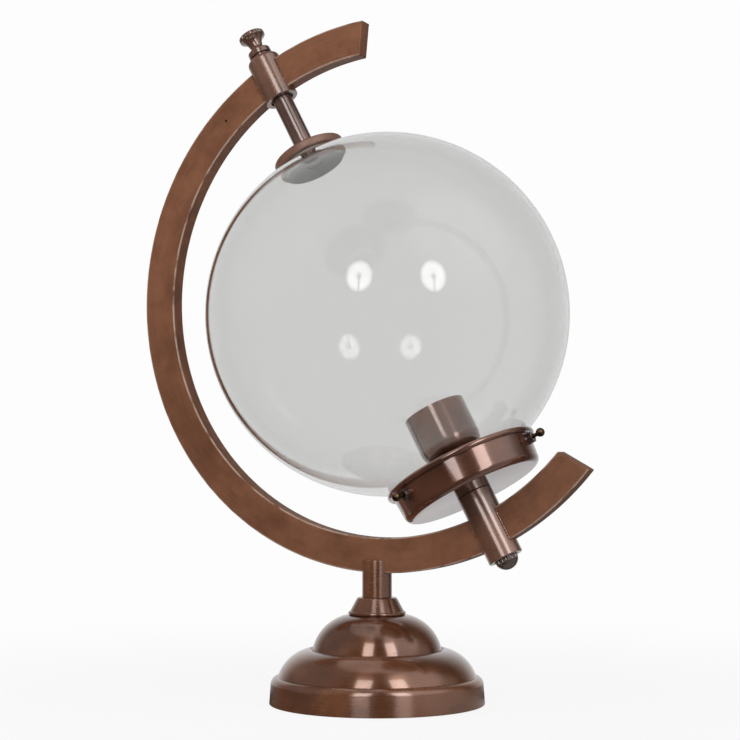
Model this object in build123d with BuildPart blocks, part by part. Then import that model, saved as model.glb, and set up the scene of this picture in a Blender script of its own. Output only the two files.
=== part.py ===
from build123d import *
import os
from math import cos, degrees, radians, sin, sqrt, tan

# Globe table lamp: a clear glass globe on a tilted axis, held between a gallery and a
# sliding top plate inside a bent arm, on a stepped and weighted base. Millimetres, +Z up.
# The origin is the centre of the base's underside. The arm lies in the XZ plane, its open
# side towards +X, and -Y is the front.

# Base, from the table upwards
RIM_DIAMETER = 147.0
RIM_HEIGHT = 18.6
RIM_WALL = 1.5
RIM_LIFT = 0.4
RIM_FLANGE = 12.0
RIM_ROUND = 4.6
RIM_TAPER = 1.2
FELT_THICKNESS = 1.6
FELT_MARGIN = 2.3
BALLAST_MARGIN = 6.0
BALLAST_HUB_DIAMETER = 68.0
BALLAST_HUB_ROOF = 6.5
LOWER_DOME_LEDGE = 5.8
LOWER_DOME_HEIGHT = 18.4
LOWER_DOME_BULGE = 4.0
DOME_SEAT_DROP = 1.5
DOME_SEAT_SLOPE = 1.2
UPPER_DOME_DIAMETER = 88.8
UPPER_DOME_LEDGE = 0.8
UPPER_DOME_HEIGHT = 24.6
UPPER_DOME_BULGE = 5.3
DOME_WALL = 1.0
DOME_FLANGE = 8.0
COLLAR_DIAMETER = 39.6
COLLAR_HEIGHT = 11.9
COLLAR_BEAD = 2.6
COLLAR_LEDGE = 3.2
COLLAR_ROUND = 0.8
STEM_DIAMETER = 20.4
STEM_WALL = 2.0
STEM_LENGTH = 16.8
STEM_FORK = 8.8
STEM_ROUND = 0.6
STEM_INSERT_LENGTH = 11.0

# Tie rod and wiring entry in the base
ROD_DIAMETER = 10.0
ROD_BORE = 7.0
ROD_TAIL = 0.6
NUT_WIDTH = 17.0
NUT_HEIGHT = 6.0
WASHER_DIAMETER = 24.0
WASHER_HEIGHT = 1.6
NUT_POCKET_MARGIN = 2.0
FLEX_DIAMETER = 5.0
FLEX_ROOM = 1.0
FLEX_BASE_BEND = 6.0
FLEX_STEM_BEND = 12.0
FLEX_ARM_BEND = 40.0
FLEX_SLEEVE_BEND = 6.5
FLEX_SLEEVE_RUN = 30.0
TERMINAL_LENGTH = 22.0
TERMINAL_WIDTH = 16.0
TERMINAL_HEIGHT = 8.4
TERMINAL_REACH = 30.0
TERMINAL_SCREW = 3.2
TERMINAL_SCREW_LENGTH = 5.0
TERMINAL_PITCH = 8.0
GROMMET_BORE = 6.6
GROMMET_WALL = 1.4
GROMMET_FLANGE = 1.4
GROMMET_FLANGE_WIDTH = 1.6
GROMMET_HEIGHT = 8.4

# Arm: rectangular tube bent edgewise to a ring, cut at the two sleeves
ARM_OUTER_RADIUS = 191.8
ARM_DEPTH = 24.0
ARM_THICKNESS = 12.0
ARM_WALL = 1.5
ARM_CHAMFER = 0.8
ARM_OFFSET = 6.0
ARM_TOP_ANGLE = 95.1
ARM_LOW_ANGLE = -39.9
ARM_END_SKEW = 10.5
CAP_THICKNESS = 1.5
DRAIN_DIAMETER = 2.0
DRAIN_ANGLE = 133.7

# Tilted axis and glass
AXIS_TILT = 27.8
AXIS_OFFSET = 5.27
GLOBE_DIAMETER = 250.0
GLASS_WALL = 2.5
NECK_DROP = 9.8
LIP_WIDTH = 2.5
LIP_HEIGHT = 3.0
LIP_ROOM = 0.9
GASKET_HEIGHT = 2.0
GASKET_WIDTH = 5.0

# Sleeves on the tilted axis
SLEEVE_DIAMETER = 24.0
SLEEVE_BORE = 17.0
SLEEVE_SHOULDER = 3.4
UPPER_SLEEVE_ABOVE = 19.6
UPPER_SLEEVE_BELOW = 15.6
LOWER_SLEEVE_STAND = 15.65
LOWER_SLEEVE_TAIL = 8.7
BUSH_LENGTH = 10.0
BUSH_RECESS = 1.2
INSERT_LENGTH = 10.0
FINIAL_RECESS = 2.2

# Gallery that carries the globe's neck, with its clamping screws
GALLERY_DEPTH = 22.5
GALLERY_TOP_DIAMETER = 102.0
GALLERY_FLARE = 1.9
GALLERY_WALL = 1.2
GALLERY_CORNER = 4.0
BEAD_SECTION = 3.8
SCREW_DROP = 8.8
SCREW_COUNT = 3
SCREW_DIAMETER = 4.0
SCREW_NECK_DIAMETER = 2.7
SCREW_NECK_LENGTH = 2.6
BALL_DIAMETER = 6.0
BOSS_DIAMETER = 7.6
BOSS_LENGTH = 4.4
BOSS_GROOVE = 0.4
BOSS_GROOVE_COUNT = 2
GALLERY_NUT_HEIGHT = 4.0

# Lamp holder inside the globe
CUP_DIAMETER = 43.0
CUP_WALL = 1.0
CUP_STRAIGHT = 23.4
CUP_NECK_DIAMETER = 16.0
CUP_NECK_LENGTH = 14.8
HOLDER_RECESS = 4.5
HOLDER_HEIGHT = 20.5
HOLDER_FOOT_DIAMETER = 33.0
HOLDER_FLOOR = 6.0
SHELL_BORE = 26.6
SHELL_WALL = 0.6
SHELL_LENGTH = 19.0
SHELL_RECESS = 1.0
CONTACT_WIDTH = 6.0
CONTACT_LENGTH = 17.0
CONTACT_THICKNESS = 0.8
CONTACT_BUTTON = 7.0
CONTACT_RISE = 2.2
CONTACT_ROOM = 0.6
HOLDER_SCREW = 3.0
HOLDER_SCREW_HEAD = 5.4
HOLDER_SCREW_HEAD_HEIGHT = 2.0
HOLDER_SCREW_LENGTH = 4.5
HOLDER_SCREW_SPAN = 17.0
NIPPLE_LENGTH = 23.0

# Sliding top plate with its rod and knob
PLATE_GAP = 2.2
PLATE_DIAMETER = 52.0
PLATE_THICKNESS = 5.8
PLATE_ROUND = 1.2
PAD_DIAMETER = 44.0
PAD_BORE = 14.0
PLUNGER_DIAMETER = 14.0
PLUNGER_REACH = 2.4
STUD_DIAMETER = 6.0
STUD_LENGTH = 8.0
PLATE_SCREW = 5.0
PLATE_SCREW_HEAD = 10.0
PLATE_SCREW_LENGTH = 16.0
KNOB_COLLAR_DIAMETER = 16.7
KNOB_COLLAR_HEIGHT = 4.2
KNOB_COLLAR_ROUND = 1.2
KNOB_NECK_DIAMETER = 9.6
KNOB_NECK_RISE = 8.2
KNOB_DIAMETER = 19.0
KNOB_RISE = 14.8
KNOB_EDGE = 2.8
KNOB_CROWN = 1.8
KNOB_HOLLOW = 1.1
KNOB_KNURLS = 36
KNURL_DEPTH = 0.35

# Knurled finial under the lower sleeve
FINIAL_DIAMETER = 15.6
FINIAL_BARREL = 4.2
FINIAL_DOME = 5.5
FINIAL_SHANK = 8.0
FINIAL_SHANK_LENGTH = 9.0
FINIAL_KNURLS = 28

# Gaps: FIT round threaded or pressed metal, RUN round a turning or sliding shaft,
# WELD between brazed or screwed-up faces, SEAT beside glass, porcelain and felt
FIT = 0.05
RUN = 0.05
WELD = 0.1
SEAT = 0.3

# Heights in the base stack
rim_radius = RIM_DIAMETER / 2
rim_inner = rim_radius - RIM_WALL
rim_slope = RIM_TAPER / (RIM_HEIGHT - RIM_LIFT)
rim_top = RIM_HEIGHT
lower_dome_top = rim_top + LOWER_DOME_HEIGHT
dome_seat = lower_dome_top - DOME_SEAT_DROP
upper_dome_top = dome_seat + UPPER_DOME_HEIGHT
collar_top = upper_dome_top + COLLAR_HEIGHT
arm_bottom = collar_top + STEM_LENGTH
rod_radius = ROD_DIAMETER / 2
ballast_low = FELT_THICKNESS
ballast_high = rim_top - RIM_WALL
flex_radius = FLEX_DIAMETER / 2
flex_low = ballast_low + FLEX_ROOM + flex_radius
nut_low = flex_low + FLEX_BASE_BEND + ROD_TAIL
washer_low = nut_low + NUT_HEIGHT
nut_pocket_top = washer_low + WASHER_HEIGHT
hub_top = nut_pocket_top + BALLAST_HUB_ROOF
rod_low = nut_low - ROD_TAIL / 2
rod_high = collar_top + STEM_INSERT_LENGTH
terminal_pocket_top = ballast_low + TERMINAL_HEIGHT + FLEX_ROOM
terminal_low = terminal_pocket_top - TERMINAL_HEIGHT
terminal_x = -TERMINAL_REACH - TERMINAL_LENGTH / 2

# Arm circle, and the lamp's tilted axis past its centre; the gallery stands on the lower
# sleeve inside the arm, and that sets where on the axis the globe's centre comes
arm_x = ARM_OFFSET
arm_z = arm_bottom + ARM_OUTER_RADIUS
arm_inner_radius = ARM_OUTER_RADIUS - ARM_DEPTH
arm_mean_radius = ARM_OUTER_RADIUS - ARM_DEPTH / 2
globe_radius = GLOBE_DIAMETER / 2
neck_end = -(globe_radius + NECK_DROP)
gallery_floor = neck_end - GASKET_HEIGHT
gallery_low = gallery_floor - GALLERY_WALL
tilt = radians(AXIS_TILT)
axis_up = Vector(-sin(tilt), 0, cos(tilt))
axis_side = Vector(cos(tilt), 0, sin(tilt))
axis_foot = Vector(arm_x, 0, arm_z) - axis_side * AXIS_OFFSET
globe_rise = LOWER_SLEEVE_STAND - gallery_low - sqrt(arm_inner_radius**2 - AXIS_OFFSET**2)
globe_centre = axis_foot + axis_up * globe_rise
LAMP = Plane(origin=globe_centre, x_dir=axis_side, z_dir=axis_up)
SECTION = Plane(origin=globe_centre, x_dir=axis_side, z_dir=(0, -1, 0))
LAMP_AXIS = Axis(globe_centre, axis_up)


# Where the tilted axis crosses a circle of the arm, measured up the axis from the globe's centre
def arm_crossing(radius, side):
    from_arm = globe_centre - Vector(arm_x, 0, arm_z)
    along = from_arm.dot(axis_up)
    return -along + side * sqrt(radius**2 - from_arm.length**2 + along**2)


# Angle at which an end cut of the arm, set back by an inset, meets a circle of the arm
def cut_angle(end_angle, side, radius, inset):
    skew = (radius - arm_mean_radius) * tan(radians(ARM_END_SKEW))
    set_back = inset / cos(radians(ARM_END_SKEW))
    return end_angle + side * degrees((set_back - skew) / radius)


# A point of the arm's plane, as sketched on the XZ plane
def on_arm(radius, angle):
    return (arm_x + radius * cos(radians(angle)), arm_z + radius * sin(radians(angle)))


# A point beside the tilted axis, as sketched on the XZ plane
def by_axis(across, along):
    point = globe_centre + axis_side * across + axis_up * along
    return (point.X, point.Z)


# A plane through the axis at the clamping screws, its x direction out along one screw
def screw_plane(angle):
    outward = axis_side * cos(radians(angle)) + Vector(0, sin(radians(angle)), 0)
    return Plane(origin=globe_centre + axis_up * screw_station, x_dir=outward, z_dir=axis_up)


# Other stations along the tilted axis, from the globe's centre
gallery_rim = gallery_low + GALLERY_DEPTH
bead_station = gallery_rim - BEAD_SECTION / 2
screw_station = gallery_rim - SCREW_DROP
upper_mid = arm_crossing(arm_mean_radius, 1)
lower_mid = arm_crossing(arm_mean_radius, -1)
upper_sleeve_low = upper_mid - UPPER_SLEEVE_BELOW
upper_sleeve_high = upper_mid + UPPER_SLEEVE_ABOVE
lower_sleeve_low = arm_crossing(ARM_OUTER_RADIUS, -1) - LOWER_SLEEVE_TAIL
finial_seat = lower_sleeve_low + FINIAL_RECESS
finial_top = finial_seat - 2 * WELD
finial_dome_top = finial_top - FINIAL_BARREL
gallery_nut_top = gallery_floor + GALLERY_NUT_HEIGHT
cup_round = CUP_DIAMETER / 2
cup_inner = cup_round - CUP_WALL
cup_neck_top = gallery_nut_top + CUP_NECK_LENGTH
cup_centre = cup_neck_top + sqrt(cup_round**2 - (CUP_NECK_DIAMETER / 2) ** 2)
cup_rim = cup_centre + CUP_STRAIGHT
holder_top = cup_rim - HOLDER_RECESS
holder_low = holder_top - HOLDER_HEIGHT
shell_top = holder_top - SHELL_RECESS
shell_low = shell_top - SHELL_LENGTH
well_floor = shell_low - CONTACT_ROOM - CONTACT_RISE - CONTACT_THICKNESS
holder_foot = well_floor - HOLDER_FLOOR
nipple_low = gallery_low - INSERT_LENGTH
nipple_top = nipple_low + NIPPLE_LENGTH
plate_low = globe_radius + PLATE_GAP
plate_high = plate_low + PLATE_THICKNESS
plunger_top = upper_sleeve_high + PLUNGER_REACH
knob_low = plunger_top + WELD

# Radii across the tilted axis
sleeve_bore = SLEEVE_BORE / 2
gallery_top_radius = GALLERY_TOP_DIAMETER / 2
gallery_floor_radius = gallery_top_radius - GALLERY_FLARE
lip_radius = gallery_floor_radius - GALLERY_WALL - LIP_ROOM
neck_radius = lip_radius - LIP_WIDTH
gallery_slope = GALLERY_FLARE / (bead_station - gallery_low)
bead_radius = gallery_top_radius - GALLERY_WALL / 2 + BEAD_SECTION / 2
boss_seat = gallery_floor_radius + gallery_slope * (screw_station - gallery_low)
boss_end = boss_seat + BOSS_LENGTH
screw_tip = neck_radius + SEAT
screw_shoulder = boss_end - BOSS_GROOVE
ball_centre = boss_end + SCREW_NECK_LENGTH + BALL_DIAMETER / 2
shell_radius = SHELL_BORE / 2 + SHELL_WALL
screw_angles = [360 / SCREW_COUNT * turn for turn in range(SCREW_COUNT)]

pieces = {}

# Base felt: a disc glued under the weight, the only face that touches the table
with BuildPart() as base_felt:
    with BuildSketch(Plane.XY):
        Circle(rim_inner - FELT_MARGIN)
    extrude(amount=FELT_THICKNESS)
pieces["base_felt"] = base_felt

# Ballast: a cast disc with a raised hub, a nut pocket below, and a channel for the wiring
with BuildPart() as ballast:
    with BuildSketch(Plane.XY.offset(ballast_low)):
        Circle(rim_inner - BALLAST_MARGIN)
    extrude(amount=ballast_high - ballast_low)
    with BuildSketch(Plane.XY.offset(ballast_low)):
        Circle(BALLAST_HUB_DIAMETER / 2)
    extrude(amount=hub_top - ballast_low)
    with BuildSketch(Plane.XY.offset(ballast_low)):
        Circle(rod_radius + FIT)
    extrude(amount=hub_top - ballast_low, mode=Mode.SUBTRACT)
    with BuildSketch(Plane.XY.offset(ballast_low)):
        Circle(WASHER_DIAMETER / 2 + NUT_POCKET_MARGIN)
    extrude(amount=nut_pocket_top - ballast_low, mode=Mode.SUBTRACT)
    with BuildSketch(Plane.XY.offset(ballast_low)):
        with Locations((-rim_inner / 2, 0)):
            Rectangle(rim_inner, FLEX_DIAMETER + 2 * FLEX_ROOM)
    extrude(amount=FLEX_DIAMETER + 2 * FLEX_ROOM, mode=Mode.SUBTRACT)
    with BuildSketch(Plane.XY.offset(ballast_low)):
        with Locations((terminal_x, 0)):
            Rectangle(TERMINAL_LENGTH + 2 * FLEX_ROOM, TERMINAL_WIDTH + 2 * FLEX_ROOM)
    extrude(amount=terminal_pocket_top - ballast_low, mode=Mode.SUBTRACT)
pieces["ballast"] = ballast

# Base rim: a spun ring with a rounded shoulder and an inward flange that carries the domes
with BuildPart() as base_rim:
    with BuildSketch(Plane.XZ) as rim_outside:
        with BuildLine():
            Polyline(
                (0, RIM_LIFT),
                (rim_radius, RIM_LIFT),
                (rim_radius - RIM_TAPER, rim_top),
                (0, rim_top),
                close=True,
            )
        make_face()
        fillet(rim_outside.vertices().sort_by(Axis.Y)[2:].sort_by(Axis.X)[-1], RIM_ROUND)
    revolve(axis=Axis.Z)
    with BuildSketch(Plane.XZ) as rim_inside:
        with BuildLine():
            Polyline(
                (0, RIM_LIFT),
                (rim_inner, RIM_LIFT),
                (rim_inner - RIM_TAPER, ballast_high),
                (0, ballast_high),
                close=True,
            )
        make_face()
        fillet(rim_inside.vertices().sort_by(Axis.Y)[2:].sort_by(Axis.X)[-1], RIM_ROUND - RIM_WALL)
    revolve(axis=Axis.Z, mode=Mode.SUBTRACT)
    with BuildSketch(Plane.XY.offset(rim_top)):
        Circle(rim_inner - RIM_FLANGE)
    extrude(amount=-2 * RIM_WALL, mode=Mode.SUBTRACT)
    with BuildSketch(Plane.YZ.offset(-rim_radius)):
        with Locations((0, GROMMET_HEIGHT)):
            Circle(GROMMET_BORE / 2 + GROMMET_WALL + FIT)
    extrude(amount=2 * RIM_WALL, mode=Mode.SUBTRACT)
pieces["base_rim"] = base_rim

# Cord grommet: a rubber ring in the rim's wall, with a flange each side
grommet_bore = GROMMET_BORE / 2
grommet_body = grommet_bore + GROMMET_WALL
grommet_edge = grommet_body + GROMMET_FLANGE_WIDTH
grommet_out = -rim_radius - FIT
grommet_wall = rim_inner - rim_slope * (GROMMET_HEIGHT + grommet_edge)
grommet_in = FIT - sqrt(grommet_wall**2 - grommet_edge**2)
with BuildPart() as cord_grommet:
    with BuildSketch(Plane.XZ):
        with BuildLine():
            Polyline(
                (grommet_out - GROMMET_FLANGE, GROMMET_HEIGHT + grommet_bore),
                (grommet_out - GROMMET_FLANGE, GROMMET_HEIGHT + grommet_edge),
                (grommet_out, GROMMET_HEIGHT + grommet_edge),
                (grommet_out, GROMMET_HEIGHT + grommet_body),
                (grommet_in, GROMMET_HEIGHT + grommet_body),
                (grommet_in, GROMMET_HEIGHT + grommet_edge),
                (grommet_in + GROMMET_FLANGE, GROMMET_HEIGHT + grommet_edge),
                (grommet_in + GROMMET_FLANGE, GROMMET_HEIGHT + grommet_bore),
                close=True,
            )
        make_face()
    revolve(axis=Axis((0, 0, GROMMET_HEIGHT), (1, 0, 0)))
pieces["cord_grommet"] = cord_grommet

# Terminal block: joins the supply cord to the inner lead, against the roof of its pocket
with BuildPart() as terminal_block:
    with BuildSketch(Plane.XY.offset(terminal_low)):
        with Locations((terminal_x, 0)):
            Rectangle(TERMINAL_LENGTH, TERMINAL_WIDTH)
            with GridLocations(TERMINAL_LENGTH / 2, TERMINAL_PITCH, 2, 2):
                Circle(TERMINAL_SCREW / 2 + FIT, mode=Mode.SUBTRACT)
    extrude(amount=TERMINAL_HEIGHT)
pieces["terminal_block"] = terminal_block

# Terminal screws: two to each conductor, driven from below
with BuildPart() as terminal_screws:
    with BuildSketch(Plane.XY.offset(terminal_low)):
        with Locations((terminal_x, 0)):
            with GridLocations(TERMINAL_LENGTH / 2, TERMINAL_PITCH, 2, 2):
                Circle(TERMINAL_SCREW / 2)
    extrude(amount=TERMINAL_SCREW_LENGTH)
pieces["terminal_screws"] = terminal_screws

# Lower dome: a spun shell on the rim's flange, with a flat seat for the upper dome
lower_dome_radius = rim_radius - LOWER_DOME_LEDGE
upper_dome_radius = UPPER_DOME_DIAMETER / 2
lower_dome_seat = upper_dome_radius + UPPER_DOME_LEDGE
lower_dome_crest = lower_dome_seat + DOME_SEAT_SLOPE
with BuildPart() as lower_dome:
    with BuildSketch(Plane.XZ):
        with BuildLine():
            outer_foot = (lower_dome_radius, rim_top)
            outer_crest = (lower_dome_crest, lower_dome_top)
            Line((0, rim_top), outer_foot)
            SagittaArc(outer_foot, outer_crest, -LOWER_DOME_BULGE)
            Polyline(outer_crest, (lower_dome_seat, dome_seat), (0, dome_seat), (0, rim_top))
        make_face()
        with BuildLine():
            inner_foot = (lower_dome_radius - DOME_WALL, rim_top)
            inner_crest = (lower_dome_crest - DOME_WALL, dome_seat - DOME_WALL)
            Line((0, rim_top), inner_foot)
            SagittaArc(inner_foot, inner_crest, -LOWER_DOME_BULGE)
            Polyline(inner_crest, (0, dome_seat - DOME_WALL), (0, rim_top))
        make_face(mode=Mode.SUBTRACT)
    revolve(axis=Axis.Z)
    with BuildSketch(Plane.XY.offset(dome_seat)):
        Circle(upper_dome_radius - DOME_FLANGE)
    extrude(amount=-2 * DOME_WALL, mode=Mode.SUBTRACT)
pieces["lower_dome"] = lower_dome

# Upper dome: a smaller spun shell, closed at the top round the tie rod
collar_radius = COLLAR_DIAMETER / 2
upper_dome_crown = collar_radius + UPPER_DOME_LEDGE
with BuildPart() as upper_dome:
    with BuildSketch(Plane.XZ):
        with BuildLine():
            outer_foot = (upper_dome_radius, dome_seat)
            outer_crown = (upper_dome_crown, upper_dome_top)
            Line((0, dome_seat), outer_foot)
            SagittaArc(outer_foot, outer_crown, -UPPER_DOME_BULGE)
            Polyline(outer_crown, (0, upper_dome_top), (0, dome_seat))
        make_face()
        with BuildLine():
            inner_foot = (upper_dome_radius - DOME_WALL, dome_seat)
            inner_crown = (upper_dome_crown - DOME_WALL, upper_dome_top - DOME_WALL)
            Line((0, dome_seat), inner_foot)
            SagittaArc(inner_foot, inner_crown, -UPPER_DOME_BULGE)
            Polyline(inner_crown, (0, upper_dome_top - DOME_WALL), (0, dome_seat))
        make_face(mode=Mode.SUBTRACT)
    revolve(axis=Axis.Z)
    with BuildSketch(Plane.XY.offset(upper_dome_top)):
        Circle(rod_radius + FIT)
    extrude(amount=-2 * DOME_WALL, mode=Mode.SUBTRACT)
pieces["upper_dome"] = upper_dome

# Stem collar: a turned cone with a bead at its foot, bored for the tie rod
stem_radius = STEM_DIAMETER / 2
collar_ledge = stem_radius + COLLAR_LEDGE
with BuildPart() as stem_collar:
    with BuildSketch(Plane.XZ):
        with BuildLine():
            bead_foot = (collar_radius - COLLAR_BEAD / 2, upper_dome_top)
            bead_head = (collar_radius - COLLAR_BEAD / 2, upper_dome_top + COLLAR_BEAD)
            Line((rod_radius + FIT, upper_dome_top), bead_foot)
            ThreePointArc(bead_foot, (collar_radius, upper_dome_top + COLLAR_BEAD / 2), bead_head)
            Polyline(
                bead_head,
                (collar_ledge, collar_top),
                (rod_radius + FIT, collar_top),
                (rod_radius + FIT, upper_dome_top),
            )
        make_face()
    revolve(axis=Axis.Z)
    fillet(stem_collar.edges().group_by(Axis.Z)[-1].sort_by(SortBy.RADIUS)[-1], COLLAR_ROUND)
pieces["stem_collar"] = stem_collar

# Stem tube: stands on the collar, with a fork at its top that straddles the arm
with BuildPart() as stem_tube:
    with BuildSketch(Plane.XY.offset(collar_top)):
        Circle(stem_radius)
        Circle(stem_radius - STEM_WALL, mode=Mode.SUBTRACT)
    extrude(amount=STEM_LENGTH + STEM_FORK)
    fillet(stem_tube.edges().group_by(Axis.Z)[-1].sort_by(SortBy.RADIUS)[-1], STEM_ROUND)
    with BuildSketch(Plane.XZ):
        with Locations((arm_x, arm_z)):
            Circle(ARM_OUTER_RADIUS + WELD)
    extrude(amount=ARM_THICKNESS / 2 + WELD, both=True, mode=Mode.SUBTRACT)
pieces["stem_tube"] = stem_tube

# Stem insert: a threaded plug pressed into the stem's foot for the tie rod
with BuildPart() as stem_insert:
    with BuildSketch(Plane.XY.offset(collar_top)):
        Circle(stem_radius - STEM_WALL - FIT)
        Circle(rod_radius + FIT, mode=Mode.SUBTRACT)
    extrude(amount=STEM_INSERT_LENGTH)
pieces["stem_insert"] = stem_insert

# Threaded rod: a hollow tie rod that clamps the base stack and carries the lead
with BuildPart() as threaded_rod:
    with BuildSketch(Plane.XY.offset(rod_low)):
        Circle(rod_radius)
        Circle(ROD_BORE / 2, mode=Mode.SUBTRACT)
    extrude(amount=rod_high - rod_low)
pieces["threaded_rod"] = threaded_rod

# Rod washer and nut: pull the tie rod down against the roof of the ballast's pocket
with BuildPart() as rod_washer:
    with BuildSketch(Plane.XY.offset(washer_low)):
        Circle(WASHER_DIAMETER / 2)
        Circle(rod_radius + FIT, mode=Mode.SUBTRACT)
    extrude(amount=WASHER_HEIGHT)
pieces["rod_washer"] = rod_washer

with BuildPart() as rod_nut:
    with BuildSketch(Plane.XY.offset(nut_low)):
        RegularPolygon(NUT_WIDTH / 2, 6, major_radius=False)
        Circle(rod_radius + FIT, mode=Mode.SUBTRACT)
    extrude(amount=NUT_HEIGHT)
pieces["rod_nut"] = rod_nut

# Arm tube: the whole bent tube, coped round both sleeves, which leaves a bow and two tips
with BuildPart() as arm_tube:
    with BuildSketch(Plane.XZ):
        with BuildLine():
            for radius in (arm_inner_radius, ARM_OUTER_RADIUS):
                start = cut_angle(ARM_TOP_ANGLE, 1, radius, CAP_THICKNESS)
                end = 360 + cut_angle(ARM_LOW_ANGLE, -1, radius, CAP_THICKNESS)
                CenterArc((arm_x, arm_z), radius, start, end - start)
            for end_angle, side in ((ARM_TOP_ANGLE, 1), (ARM_LOW_ANGLE, -1)):
                Line(
                    on_arm(arm_inner_radius, cut_angle(end_angle, side, arm_inner_radius, CAP_THICKNESS)),
                    on_arm(ARM_OUTER_RADIUS, cut_angle(end_angle, side, ARM_OUTER_RADIUS, CAP_THICKNESS)),
                )
        make_face()
    extrude(amount=ARM_THICKNESS / 2, both=True)
    chamfer(arm_tube.edges().filter_by(GeomType.CIRCLE), ARM_CHAMFER)
    with BuildSketch(Plane.XZ):
        with BuildLine():
            for radius in (arm_inner_radius + ARM_WALL, ARM_OUTER_RADIUS - ARM_WALL):
                start = cut_angle(ARM_TOP_ANGLE, 1, radius, 0)
                end = 360 + cut_angle(ARM_LOW_ANGLE, -1, radius, 0)
                CenterArc((arm_x, arm_z), radius, start, end - start)
            for end_angle, side in ((ARM_TOP_ANGLE, 1), (ARM_LOW_ANGLE, -1)):
                near = arm_inner_radius + ARM_WALL
                far = ARM_OUTER_RADIUS - ARM_WALL
                Line(
                    on_arm(near, cut_angle(end_angle, side, near, 0)),
                    on_arm(far, cut_angle(end_angle, side, far, 0)),
                )
        make_face()
    extrude(amount=ARM_THICKNESS / 2 - ARM_WALL, both=True, mode=Mode.SUBTRACT)
    with BuildSketch(LAMP.offset(upper_mid)):
        Circle(SLEEVE_DIAMETER / 2 + WELD)
    extrude(amount=2 * ARM_DEPTH, both=True, mode=Mode.SUBTRACT)
    with BuildSketch(LAMP.offset(lower_mid)):
        Circle(SLEEVE_DIAMETER / 2 + WELD)
    extrude(amount=2 * ARM_DEPTH, both=True, mode=Mode.SUBTRACT)
    with BuildSketch(Plane.XY.offset(arm_bottom - ARM_WALL)):
        Circle(flex_radius + FLEX_ROOM)
    extrude(amount=3 * ARM_WALL, mode=Mode.SUBTRACT)
    with BuildSketch(Plane.XZ.offset(ARM_THICKNESS / 2)):
        with Locations(on_arm(arm_mean_radius, DRAIN_ANGLE)):
            Circle(DRAIN_DIAMETER / 2)
    extrude(amount=-2 * ARM_WALL, mode=Mode.SUBTRACT)
arm_lengths = arm_tube.solids().sort_by(Axis.Z)

# Arm bow: the long length from the upper sleeve, round the foot, to the lower sleeve
with BuildPart() as arm_bow:
    add(arm_lengths[1])
pieces["arm_bow"] = arm_bow

# Arm tips: the short free ends beyond the two sleeves
with BuildPart() as arm_tip_top:
    add(arm_lengths[2])
pieces["arm_tip_top"] = arm_tip_top

with BuildPart() as arm_tip_bottom:
    add(arm_lengths[0])
pieces["arm_tip_bottom"] = arm_tip_bottom

# Arm caps: plates brazed over the open ends and ground flush
for cap_name, end_angle, side in (("arm_cap_top", ARM_TOP_ANGLE, 1), ("arm_cap_bottom", ARM_LOW_ANGLE, -1)):
    with BuildPart() as arm_cap:
        with BuildSketch(Plane.XZ):
            with BuildLine():
                for radius in (arm_inner_radius, ARM_OUTER_RADIUS):
                    free = cut_angle(end_angle, side, radius, 0)
                    joined = cut_angle(end_angle, side, radius, CAP_THICKNESS)
                    CenterArc((arm_x, arm_z), radius, free, joined - free)
                for inset in (0, CAP_THICKNESS):
                    Line(
                        on_arm(arm_inner_radius, cut_angle(end_angle, side, arm_inner_radius, inset)),
                        on_arm(ARM_OUTER_RADIUS, cut_angle(end_angle, side, ARM_OUTER_RADIUS, inset)),
                    )
            make_face()
        extrude(amount=ARM_THICKNESS / 2, both=True)
        chamfer(arm_cap.edges().filter_by(GeomType.CIRCLE), ARM_CHAMFER)
    pieces[cap_name] = arm_cap

# Upper sleeve: a guide tube brazed across the arm, with a rounded upper shoulder
with BuildPart() as upper_sleeve:
    with BuildSketch(LAMP.offset(upper_sleeve_low)):
        Circle(SLEEVE_DIAMETER / 2)
        Circle(sleeve_bore, mode=Mode.SUBTRACT)
    extrude(amount=upper_sleeve_high - upper_sleeve_low)
    fillet(upper_sleeve.edges().group_by(LAMP_AXIS)[-1].sort_by(SortBy.RADIUS)[-1], SLEEVE_SHOULDER)
pieces["upper_sleeve"] = upper_sleeve

# Guide bushes: plastic rings pressed into the upper sleeve's ends, in which the rod slides
bush_lows = {
    "guide_bush_top": upper_sleeve_high - BUSH_RECESS - BUSH_LENGTH,
    "guide_bush_bottom": upper_sleeve_low + BUSH_RECESS,
}
for bush_name, bush_low in bush_lows.items():
    with BuildPart() as guide_bush:
        with BuildSketch(LAMP.offset(bush_low)):
            Circle(sleeve_bore - FIT)
            Circle(PLUNGER_DIAMETER / 2 + RUN, mode=Mode.SUBTRACT)
        extrude(amount=BUSH_LENGTH)
    pieces[bush_name] = guide_bush

# Lower sleeve: brazed across the arm under the gallery, with a side hole for the lead
with BuildPart() as lower_sleeve:
    with BuildSketch(LAMP.offset(lower_sleeve_low)):
        Circle(SLEEVE_DIAMETER / 2)
        Circle(sleeve_bore, mode=Mode.SUBTRACT)
    extrude(amount=gallery_low - lower_sleeve_low)
    with BuildSketch(Plane(origin=globe_centre + axis_up * lower_mid, z_dir=-axis_side)):
        Circle(flex_radius + FLEX_ROOM)
    extrude(amount=SLEEVE_DIAMETER, mode=Mode.SUBTRACT)
pieces["lower_sleeve"] = lower_sleeve

# Sleeve insert: a threaded plug flush with the sleeve's top, which holds the nipple
with BuildPart() as sleeve_insert:
    with BuildSketch(LAMP.offset(nipple_low)):
        Circle(sleeve_bore - FIT)
        Circle(rod_radius + FIT, mode=Mode.SUBTRACT)
    extrude(amount=INSERT_LENGTH)
pieces["sleeve_insert"] = sleeve_insert

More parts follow.
